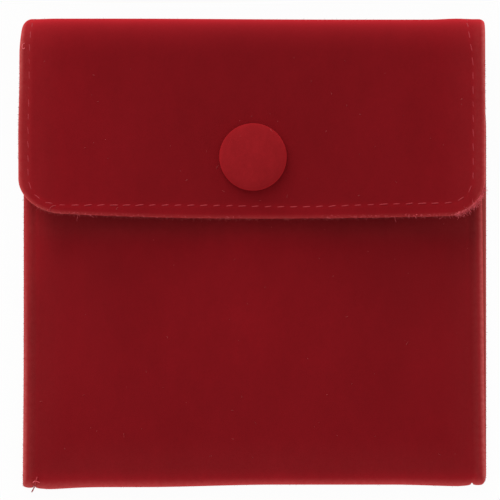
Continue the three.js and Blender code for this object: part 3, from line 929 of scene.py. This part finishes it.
def velvet_material(name, place, colours, sheen, has_rim):
    material, tree = new_material(name)
    slow = noise(tree, place(tree, (1, 0.5, 1)), 0.1, 3.0, 0.55)
    brushing = noise(tree, place(tree, (1, 0.6, 1)), 0.45, 2.0, 0.5)
    pile = noise(tree, place(tree, (1, 0.7, 1)), 1.6, 3.0, 0.7)
    fibre = noise(tree, place(tree), 7.0, 2.0, 0.6)
    colour = ramp(tree, slow, 0.3, 0.7, colours)
    for value, depth in ((brushing, 0.07), (pile, 0.07), (fibre, 0.10)):
        colour = speckled(tree, colour, value, depth)
    if has_rim:
        # Painted light and shade: the stored tone lightens the velvet where sheen and light fall, and
        # darkens it in places
        colour = mixed(tree, colour, stored(tree, "tone"), 1.0, "MULTIPLY")
        # Pale cut pile mixed in, with painted sheen on the folds and painted light in the flap's shadow
        broken = noise(tree, place(tree), 1.3, 3.0, 0.7)
        patchy = ramp(tree, broken, 0.3, 0.6, (grey(0.55), grey(1.0)))
        frayed = calculated(tree, "MULTIPLY", stored(tree, "rim"), patchy)
        colour = mixed(tree, colour, VELVET_RIM, frayed)
    normal = bumped(tree, (pile, 0.08 * MM, 0.25), (fibre, 0.05 * MM, 0.4))
    cloth_shader(tree, colour, normal, 0.95, 0.03, Sheen_Weight=sheen, Sheen_Roughness=0.72)
    return material


def lining_material():
    material, tree = new_material("lining_suede")
    place = cloth_place(tree)
    nap = noise(tree, place, 6.0, 3.0, 0.7)
    colour = speckled(tree, ramp(tree, noise(tree, place, 0.15), 0.3, 0.7, LINING), nap, 0.14)
    frayed = calculated(tree, "MULTIPLY", stored(tree, "rim"), LINING_EDGE_SHARE)
    colour = mixed(tree, colour, LINING_EDGE, frayed)
    normal = bumped(tree, (nap, 0.05 * MM, 0.4))
    cloth_shader(tree, colour, normal, 0.85, 0.2, Sheen_Weight=0.25, Sheen_Roughness=0.5)
    return material


def thread_material():
    material, tree = new_material("topstitch_thread")
    twist = noise(tree, object_place(tree), 7.0)
    colour = ramp(tree, twist, 0.3, 0.7, THREAD)
    normal = bumped(tree, (twist, 0.05 * MM, 0.5))
    cloth_shader(tree, colour, normal, 0.6, 0.12, Sheen_Weight=0.3, Sheen_Roughness=0.4)
    return material


def fibre_material(name, colours):
    material, tree = new_material(name)
    colour = ramp(tree, noise(tree, object_place(tree), 1.3, 1.0), 0.35, 0.65, colours)
    shader(tree, Base_Color=colour, Roughness=0.8, Specular_IOR_Level=0.1)
    return material


def stiffener_material():
    material, tree = new_material("stiffener_fibre")
    felt = noise(tree, object_place(tree), 2.5, 4.0, 0.7)
    colour = ramp(tree, felt, 0.3, 0.7, STIFFENER)
    normal = bumped(tree, (felt, 0.05 * MM, 0.6))
    shader(tree, Base_Color=colour, Normal=normal, Roughness=0.95, Specular_IOR_Level=0.2)
    return material


def metal_material(name, colours, roughness):
    material, tree = new_material(name)
    worn = noise(tree, object_place(tree), 0.9, 3.0, 0.6)
    grain = noise(tree, object_place(tree, (1, 1, 6)), 8.0)
    colour = ramp(tree, worn, 0.35, 0.7, colours)
    gloss = ramp(tree, worn, 0.3, 0.75, (grey(roughness), grey(roughness + WORN_GLOSS)))
    normal = bumped(tree, (grain, 0.01 * MM, 0.3))
    shader(tree, Base_Color=colour, Normal=normal, Roughness=gloss, Metallic=1.0)
    return material


# Pressed metal and the covered cap
LATHE_SIDES = 96
ON_AXIS = 1e-7
CORNER_STEPS = 5
SHEET_METAL = 0.3 * MM
STUD_FLANGE_THICKNESS = 0.35 * MM
STUD_NECK_RADIUS = 1.65 * MM
STUD_HEAD_RADIUS = 1.95 * MM
STUD_BORE_RADIUS = 1.05 * MM
STUD_NECK_TOP = 0.4
STUD_HEAD_WIDEST = 0.72
STUD_HEAD_TAPER = 0.1 * MM
STUD_DIMPLE = (1.0 * MM, 0.75 * MM, 0.1 * MM)
SOCKET_PLATE = 0.4 * MM
SOCKET_BODY_RADIUS = 3.9 * MM
SOCKET_MOUTH_RADIUS = 2.25 * MM
SOCKET_CHAMBER_RADIUS = 2.7 * MM
SOCKET_GROOVE_RADIUS = 3.3 * MM
SOCKET_GROOVE = (0.3 * MM, 0.85 * MM)
SOCKET_BORE_RADIUS = 1.4 * MM
DOME_STEPS = 24
CAP_ROUND_STEPS = 7
CAP_RIM_HEIGHT = 0.9 * MM
CAP_COVER_THICKNESS = 0.5 * MM
CAP_FULLNESS = 2.6
CAP_TUCK_SHARE = 0.8
CAP_TURN_IN = 2.2 * MM
CAP_HEM_ROUND = 0.1 * MM
CAP_PLEATS = 26
CAP_PLEAT_HEIGHT = 0.12 * MM


def rounded(corners):
    """Profile through corners of (radius, height, rounding), the rounding in millimetres, as arcs."""
    points = []
    for k, (r, z, rounding) in enumerate(corners):
        here = np.array([r, z])
        if rounding == 0:
            points.append(here)
            continue
        before = np.array(corners[k - 1][:2]) - here
        after = np.array(corners[(k + 1) % len(corners)][:2]) - here
        start = before / np.linalg.norm(before) * rounding * MM
        end = after / np.linalg.norm(after) * rounding * MM
        for share in np.linspace(0, 1, CORNER_STEPS + 1):
            points.append(here + start * (1 - share) ** 2 + end * share**2)
    return np.array(points)


def snap_piece(name, profile, material, body, solid, pleats=None):
    """Solid turned about the snap's axis from a closed profile. Points on the axis are shared."""
    turns = np.arange(LATHE_SIDES) * 2 * math.pi / LATHE_SIDES
    pleats = np.zeros(len(profile)) if pleats is None else pleats
    verts = []
    rings = []
    for (r, z), pleat in zip(profile, pleats):
        start = len(verts)
        if r < ON_AXIS:
            verts.append((snap_x, snap_y, z))
            rings.append([start] * LATHE_SIDES)
            continue
        lift = pleat * (1 + np.cos(turns * CAP_PLEATS)) / 2
        verts.extend(zip(snap_x + r * np.cos(turns), snap_y + r * np.sin(turns), z + lift))
        rings.append(list(range(start, start + LATHE_SIDES)))
    faces = []
    for corners in round_faces(np.array(rings + rings[:1])):
        kept = [c for n, c in enumerate(corners) if c != corners[n - 1]]
        if len(kept) > 2:
            faces.append(kept)
    piece = new_piece(name, verts, faces, material)
    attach(piece, body)
    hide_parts(solid)


def dome(radius, base, crown):
    """Points of a low, full dome from its widest ring up to the crown."""
    turns = np.linspace(0, math.pi / 2, DOME_STEPS + 1)
    across = radius * np.cos(turns) ** (2 / CAP_FULLNESS)
    across[-1] = 0
    return np.stack([across, base + (crown - base) * np.sin(turns) ** (2 / CAP_FULLNESS)], axis=-1)


def make_cap(material):
    """Velvet drawn over the cap and gathered in small pleats under its rim."""
    bottom = cap_low.z
    widest = bottom + CAP_RIM_HEIGHT
    inside = dome(cap_radius - CAP_COVER_THICKNESS, widest, cap_high.z - CAP_COVER_THICKNESS)[::-1]
    hem = cap_radius - CAP_TURN_IN
    tucked = [
        (cap_radius - CAP_RIM_HEIGHT * CAP_TUCK_SHARE, bottom + CAP_COVER_THICKNESS),
        (hem, bottom + CAP_COVER_THICKNESS),
        (hem - CAP_HEM_ROUND, bottom + CAP_COVER_THICKNESS / 2),
        (hem, bottom),
    ]
    turns = np.linspace(0, math.pi / 2, CAP_ROUND_STEPS + 1)[:-1]
    under_r = cap_radius - CAP_RIM_HEIGHT * (1 - np.sin(turns))
    under = np.stack([under_r, widest - CAP_RIM_HEIGHT * np.cos(turns)], axis=-1)
    profile = np.concatenate([inside, tucked, under, dome(cap_radius, widest, cap_high.z)])
    first = len(inside) + len(tucked) - 1
    pleats = np.zeros(len(profile))
    pleats[first : first + len(under) - 1] = CAP_PLEAT_HEIGHT
    snap_piece("cap_velvet", profile, material, "flap", "cap_cover", pleats)


def make_stud(material):
    flange_top = stud_low.z + STUD_FLANGE_THICKNESS
    height = stud_high.z - flange_top
    flange = stud_high.x - snap_x
    dimple_edge, dimple_floor, dimple_depth = STUD_DIMPLE
    corners = [
        (0, stud_high.z - SHEET_METAL, 0),
        (STUD_BORE_RADIUS, stud_high.z - SHEET_METAL, 0.1),
        (STUD_BORE_RADIUS, stud_low.z, 0.1),
        (flange, stud_low.z, 0.15),
        (flange, flange_top, 0.17),
        (STUD_NECK_RADIUS, flange_top, 0.25),
        (STUD_NECK_RADIUS, flange_top + STUD_NECK_TOP * height, 0.2),
        (STUD_HEAD_RADIUS, flange_top + STUD_HEAD_WIDEST * height, 0.2),
        (STUD_HEAD_RADIUS - STUD_HEAD_TAPER, stud_high.z, 0.28),
        (dimple_edge, stud_high.z, 0.15),
        (dimple_floor, stud_high.z - dimple_depth, 0.15),
        (0, stud_high.z - dimple_depth, 0),
    ]
    snap_piece("stud_pressed", rounded(corners), material, "pouch_body", "snap_stud")


def make_socket(material):
    plate_bottom = socket_high.z - SOCKET_PLATE
    flange = socket_high.x - snap_x
    groove_low, groove_high = [socket_low.z + height for height in SOCKET_GROOVE]
    corners = [
        (SOCKET_BORE_RADIUS, socket_high.z, 0),
        (SOCKET_BORE_RADIUS, plate_bottom, 0.08),
        (SOCKET_CHAMBER_RADIUS, plate_bottom, 0.2),
        (SOCKET_CHAMBER_RADIUS, groove_high, 0.1),
        (SOCKET_GROOVE_RADIUS, groove_high, 0.1),
        (SOCKET_GROOVE_RADIUS, groove_low, 0.1),
        (SOCKET_MOUTH_RADIUS, groove_low, 0.1),
        (SOCKET_MOUTH_RADIUS, socket_low.z, 0.14),
        (SOCKET_BODY_RADIUS, socket_low.z, 0.4),
        (SOCKET_BODY_RADIUS, plate_bottom, 0.25),
        (flange, plate_bottom, 0.17),
        (flange, socket_high.z, 0.17),
    ]
    snap_piece("socket_pressed", rounded(corners)[::-1], material, "flap", "snap_socket")


# Making the pouch
SIDES = ((-1, "left"), (1, "right"))


def across_fold(piece, number):
    """Bakes the placement of a piece of the top fold into its points."""
    start = strip_point(0.0, number * FOLD_PIECE, wall / 2)
    end = strip_point(0.0, (number + 1) * FOLD_PIECE, wall / 2)
    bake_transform(piece)


def make_layer(kind, material, *body_solids):
    """The whole strip of one cloth, from the mouth to the flap's free edge."""
    body = body_layer(kind, material)
    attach(body, "pouch_body")
    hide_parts(*body_solids)
    flap = flap_layer(kind, material)
    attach(flap, "flap")
    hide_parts(f"flap_{kind}")
    for number in range(FOLD_PIECES):
        fold = fold_layer(number, kind, material)
        # The solid strips of the fold, 1 to 3, that this piece reaches over
        stood_for = {max(number, 1), min(number + 1, FOLD_PIECES - 1)}
        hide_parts(*[f"fold_{kind}_{k}" for k in sorted(stood_for)])
        across_fold(fold, number)


def make_stitches(thread):
    """Lockstitch: the same run of thread shows on both faces of what it joins."""
    holes = flap_stitch_line()
    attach(stitches("flap_topstitch", holes, velvet_outer, 1, thread), "flap")
    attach(stitches("flap_understitch", holes, lining_inner_face, -1, thread), "flap")
    seams = (("back", -BACK_LENGTH, 0), ("front", MOUTH + SEAM_MOUTH_GAP, FRONT_START))
    for side, place in SIDES:
        for number in range(FOLD_PIECES):
            line = side_line(side, number * FOLD_PIECE, (number + 1) * FOLD_PIECE)
            holes = resampled(line, FOLD_PIECE / 2)
            name = f"fold_topstitch_{place}_{number + 1}"
            across_fold(stitches(name, holes, velvet_outer, 1, thread), number)
        for panel, start, end in seams:
            holes = resampled(side_line(side, start, end), STITCH_PITCH)
            name = f"{panel}_seam_{place}"
            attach(stitches(name, holes, velvet_outer, 1, thread, SEAM_SINK), "pouch_body")


# Loose ends of thread: columns, rows and heights in millimetres over the pile
SEAM_TAIL = (
    (37, 477, 0.15),
    (36.2, 479.5, 0.3),
    (35.2, 482.5, 0.2),
    (34.6, 486, -0.6),
    (33, 489.5, -1.5),
    (31.4, 492.5, -1.9),
)
SEAM_KNOT = (
    (32.8, 482.8, 0.1),
    (34.6, 481.4, 0.35),
    (37, 481.8, 0.4),
    (39.6, 482.8, 0.15),
)
TOPSTITCH_END = (
    (56, 205.6, 0.04),
    (52.5, 206.2, 0.04),
    (50.4, 208.2, 0.04),
    (50.2, 210.6, 0.04),
    (51.2, 212.4, 0.04),
)
FOLD_LOOP = (
    (25.2, 43.5, 0.05),
    (23.2, 44.8, 0.12),
    (22.6, 47.4, 0.14),
    (23.8, 49.4, 0.1),
    (25.2, 48.2, 0.05),
)
LOOSE_TWIST = (0.6, 0.15)
LOOSE_STEPS = 6


def smooth_line(points):
    """Catmull-Rom curve through points."""
    points = np.asarray(points, float)
    padded = np.concatenate([[2 * points[0] - points[1]], points, [2 * points[-1] - points[-2]]])
    curve = []
    for a, b, c, d in zip(padded, padded[1:], padded[2:], padded[3:]):
        slope = (c - a) / 2
        bend = (2 * a - 5 * b + 4 * c - d) / 2
        twist = (3 * b - a - 3 * c + d) / 2
        for t in np.linspace(0, 1, LOOSE_STEPS, endpoint=False):
            curve.append(b + slope * t + bend * t**2 + twist * t**3)
    return np.array(curve + [points[-1]])


def loose_thread(name, line, place, thickness, thread):
    columns, rows, heights = np.array(line).T
    x, y = from_pixel(columns, rows)
    s = place(y)
    ground = strip_point(x, s, velvet_outer(x, s))[:, 2]
    centres = smooth_line(np.stack([x, y, ground + heights * MM], axis=-1))
    radii = np.full(len(centres), thickness * THREAD_RADIUS)
    return tubes(name, [tube_rings(centres, radii, THREAD_SIDES, *LOOSE_TWIST)], thread)


def make_thread_ends(thread, pile):
    """The seam thread's tail and knot at the bottom left, the topstitch's end and a loop of pile."""
    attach(loose_thread("seam_thread_tail", SEAM_TAIL, front_place, 1.15, thread), "pouch_body")
    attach(loose_thread("seam_thread_knot", SEAM_KNOT, front_place, 0.7, pile), "pouch_body")
    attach(loose_thread("topstitch_thread_end", TOPSTITCH_END, flap_place, 0.7, thread), "flap")
    across_fold(loose_thread("fold_pile_loop", FOLD_LOOP, flap_place, 0.5, pile), FOLD_PIECES - 1)


# Loose pile
FIBRE_RADIUS = 0.028 * MM
COARSE = 1.3 * FIBRE_RADIUS
FINE = 0.7 * FIBRE_RADIUS
# Stretches of the flap's free edge in millimetres, with the number and mean length of their hairs
FUZZ = (
    (34.5, 39.4, 480, 0.24),
    (37.5, 39.5, 500, 0.26),
    (35, 39.4, 160, 0.36),
    (12, 34.5, 120, 0.20),
    (-33, -20, 40, 0.24),
    (-39, 39, 110, 0.16),
)
FUZZ_DEPTH = 0.45
FUZZ_SPREAD = [1.1, 1.1, 0.3]
FUZZ_RISE = [0, 0, 0.35]
FUZZ_EVENNESS = 3
FUZZ_CURL = 0.5
SLOPE_STEP = 0.01 * MM
ROOT_DEPTH = 0.02 * MM


def make_flap_fuzz(material):
    """Loose pile along the flap's cut edge, thickest round its right corner."""
    rng = np.random.default_rng(11)
    across = np.concatenate([rng.uniform(low, high, count) for low, high, count, _ in FUZZ]) * MM
    mean_length = np.concatenate([np.full(count, length) for _, _, count, length in FUZZ]) * MM
    slope = (flap_edge_s(across + SLOPE_STEP) - flap_edge_s(across - SLOPE_STEP)) / (2 * SLOPE_STEP)
    outward = unit(np.stack([-slope, -np.ones_like(slope), np.zeros_like(slope)], axis=-1))
    s = flap_edge_s(across) - rng.uniform(0, FUZZ_DEPTH, len(across)) * MM
    roots = strip_point(across, s, velvet_outer(across, s) - ROOT_DEPTH)
    aims = unit(outward + rng.normal(size=roots.shape) * FUZZ_SPREAD + FUZZ_RISE)
    lengths = rng.gamma(FUZZ_EVENNESS, 1 / FUZZ_EVENNESS, len(across)) * mean_length
    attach(fibres("flap_edge_fuzz", roots, aims, lengths, COARSE, FUZZ_CURL, rng, material), "flap")


# Short pile on the outline: numbers of hairs, their length and the ends of their stretches
SHORTEST_PILE = 0.1 * MM
LONGEST_PILE = 0.24 * MM
LONGEST_FLAP_PILE = 0.55 * MM
PILE_SPREAD = 0.45
PILE_CURL = 0.3
PILE_ROOT_DEPTH = 0.03 * MM
PILE_INSET = 0.04 * MM
SIDE_PILE = (
    ("pouch_body", MOUTH, -2 * MM, 520),
    ("flap", FLAP_START + 1 * MM, FLAP_START + 18 * MM, 150),
)
FOLD_PILE_ACROSS = (-body_width / 2 + 2 * MM, body_width / 2 - 2 * MM)
BOTTOM_PILE = 260
BOTTOM_PILE_SHARES = (0.2, 0.8)
FOLD_PILE = 130
FOLD_PILE_SHARES = (0.05, 0.95)
FLAP_PILE = (-38 * MM, 38.5 * MM, 1300)
FLAP_PILE_DEPTHS = (0.03, 0.2)


def standing_pile(name, x, s, aim, rng, material, longest=LONGEST_PILE):
    """Short hairs that stand out from the velvet in about one direction."""
    roots = strip_point(x, s, velvet_outer(x, s) - PILE_ROOT_DEPTH)
    aims = unit(np.asarray(aim, float) + rng.normal(size=roots.shape) * PILE_SPREAD)
    lengths = rng.uniform(SHORTEST_PILE, longest, len(roots))
    return fibres(name, roots, aims, lengths, FINE, PILE_CURL, rng, material)


def make_outline_fuzz(material):
    """Short pile that stands out from the side edges, the two folds and the flap's free edge."""
    rng = np.random.default_rng(5)
    for side, place in SIDES:
        for body, low, high, count in SIDE_PILE:
            s = rng.uniform(low, high, count)
            x = middle(s) + side * (half_width(s) - PILE_INSET)
            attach(standing_pile(f"{body}_pile_{place}", x, s, (side, 0, 0), rng, material), body)
    x = rng.uniform(*FOLD_PILE_ACROSS, BOTTOM_PILE)
    s = FRONT_START + BOTTOM_LENGTH * rng.uniform(*BOTTOM_PILE_SHARES, BOTTOM_PILE)
    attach(standing_pile("bottom_fold_pile", x, s, (0, -1, 0), rng, material), "pouch_body")
    for number in (1, 2):
        x = rng.uniform(*FOLD_PILE_ACROSS, FOLD_PILE)
        s = FOLD_PIECE * (number + rng.uniform(*FOLD_PILE_SHARES, FOLD_PILE))
        across_fold(standing_pile(f"top_fold_pile_{number + 1}", x, s, (0, 1, 0), rng, material), number)
    x = rng.uniform(*FLAP_PILE)
    s = flap_edge_s(x) - rng.uniform(*FLAP_PILE_DEPTHS, len(x)) * MM
    pile = standing_pile("flap_edge_pile", x, s, (0, -1, -0.1), rng, material, LONGEST_FLAP_PILE)
    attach(pile, "flap")


# Specks where the photograph has them, as columns and rows, and the scattered ones, in millimetres
LINT_SPECKS_PX = (
    (118, 207.5),
    (97, 431),
    (270, 129),
    (277.5, 122),
    (240, 121),
    (246, 123),
    (430, 138),
    (93, 75),
    (462, 99),
    (461, 105),
)
LINT_SPREAD = (37, 36)
LINT_COUNT = 90
LINT_FLATNESS = [1, 1, 0.05]
LINT_EVENNESS = 2.5
LINT_LENGTH = 0.09
LINT_CURL = 0.4
SHORTEST_LINT = 0.08 * MM


def make_lint(material):
    """Specks and bits of fibre that lie on the pile, a few of them where the photograph has them."""
    rng = np.random.default_rng(23)
    known = from_pixel(*np.array(LINT_SPECKS_PX).T)
    xs, ys = [
        np.concatenate([places, rng.uniform(-spread, spread, LINT_COUNT) * MM])
        for places, spread in zip(known, LINT_SPREAD)
    ]
    for body, low, high, place in (
        ("flap", flap_edge_y + 1 * MM, fold_centre_y, flap_place),
        ("pouch_body", bottom_fold_y, flap_edge_y - 1 * MM, front_place),
    ):
        inside = (ys > low) & (ys < high)
        x = xs[inside]
        y = ys[inside]
        s = place(y)
        roots = strip_point(x, s, velvet_outer(x, s) + FIBRE_RADIUS)
        on_cap = np.hypot(x - snap_x, y - snap_y) < cap_radius
        roots[on_cap, 2] = cap_high.z
        aims = unit(rng.normal(size=roots.shape) * LINT_FLATNESS)
        lengths = rng.gamma(LINT_EVENNESS, LINT_LENGTH, len(x)) * MM + SHORTEST_LINT
        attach(fibres(f"lint_{body}", roots, aims, lengths, COARSE, LINT_CURL, rng, material), body)


def dress_solids(nickel):
    finishes = {
        "stiffener": stiffener_material(),
        "nickel": nickel,
        "spring": metal_material("spring_wire", SPRING, 0.3),
    }
    for part in frame["record"]["subparts"]:
        finish = finishes.get(part["material_slot"])
        if finish is not None:
            materials = frame["nodes"][part["node"]].data.materials
            materials.clear()
            materials.append(finish)


# Camera, light and floor
CAMERA_CLIP = (0.01, 20)
KEY_PLACE = (-0.28, 0.66, 0.52)
KEY_SIZE = 0.8
KEY_POWER = 3.4
FILL = 0.70
WHITE = (1, 1, 1, 1)
FLOOR_SHOWN = 0.96
FLOOR_COLOUR = (0.8, 0.8, 0.8, 1)
FLOOR_SIDE = 3.0
FLOOR_DROP = 0.02 * MM


def make_camera():
    data = bpy.data.cameras.new("camera")
    data.sensor_width = SENSOR
    data.lens = SENSOR * CAMERA_DISTANCE / (IMAGE_SIDE * PIXEL)
    data.clip_start, data.clip_end = CAMERA_CLIP
    camera = new_object("camera", data)
    camera.location = (*from_pixel(IMAGE_SIDE / 2, IMAGE_SIDE / 2), PICTURE_LEVEL + CAMERA_DISTANCE)
    bpy.context.scene.camera = camera


def make_key_light():
    data = bpy.data.lights.new("key", "AREA")
    data.shape = "DISK"
    data.size = KEY_SIZE
    data.energy = KEY_POWER
    light = new_object("key", data)
    light.location = KEY_PLACE
    light.rotation_euler = (-Vector(KEY_PLACE)).to_track_quat("-Z", "Y").to_euler()


def seen_directly(tree):
    """1 for rays that show a surface to the camera, also by reflection or through glass."""
    path = add(tree, "ShaderNodeLightPath")
    shown = path.outputs["Is Camera Ray"]
    for kind in ("Is Glossy Ray", "Is Transmission Ray"):
        shown = calculated(tree, "MAXIMUM", shown, path.outputs[kind])
    return shown


def shader_choice(tree, share, first, second, output_kind):
    choice = add(tree, "ShaderNodeMixShader", {"Fac": share, 1: first.outputs[0], 2: second.outputs[0]})
    add(tree, output_kind, {"Surface": choice.outputs[0]})


def make_world():
    world = bpy.data.worlds.new("studio")
    bpy.context.scene.world = world
    world.use_nodes = True
    tree = world.node_tree
    tree.nodes.clear()
    fill = add(tree, "ShaderNodeBackground", {"Color": WHITE, "Strength": FILL})
    shown = add(tree, "ShaderNodeBackground", {"Color": WHITE})
    shader_choice(tree, seen_directly(tree), fill, shown, "ShaderNodeOutputWorld")


def make_floor():
    mesh = bpy.data.meshes.new("floor")
    corners = [(x * FLOOR_SIDE, y * FLOOR_SIDE, 0) for x, y in ((-1, -1), (1, -1), (1, 1), (-1, 1))]
    mesh.from_pydata(corners, [], [(0, 1, 2, 3)])
    floor = new_object("floor", mesh)
    floor.location = (0, 0, -FLOOR_DROP)
    material, tree = new_material("floor_white")
    paper = add(tree, "ShaderNodeBsdfDiffuse", {"Color": FLOOR_COLOUR})
    share = calculated(tree, "MULTIPLY", seen_directly(tree), FLOOR_SHOWN)
    shader_choice(tree, share, paper, add(tree, "ShaderNodeEmission"), "ShaderNodeOutputMaterial")
    mesh.materials.append(material)


velvet = velvet_material("velvet_red", cloth_place, VELVET, 1.0, True)
cap_velvet = velvet_material("velvet_cap", object_place, CAP_VELVET, 0.5, False)
nickel_plate = metal_material("nickel_plate", NICKEL, 0.34)
stitch_thread = thread_material()
pale_fibre = fibre_material("loose_pile", LOOSE_PILE)
lint_fibre = fibre_material("lint", LINT)
red_fibre = fibre_material("short_pile", SHORT_PILE)

make_camera()
make_key_light()
make_world()
make_floor()
dress_solids(nickel_plate)
make_layer("velvet", velvet, "velvet_front", "velvet_bottom_fold", "velvet_back")
make_layer("lining", lining_material(), "pocket_lining")
make_cap(cap_velvet)
make_stud(nickel_plate)
make_socket(nickel_plate)
make_stitches(stitch_thread)
make_thread_ends(stitch_thread, pale_fibre)
make_flap_fuzz(pale_fibre)
make_outline_fuzz(red_fibre)
make_lint(lint_fibre)

bpy.context.scene.view_settings.view_transform = "Standard"
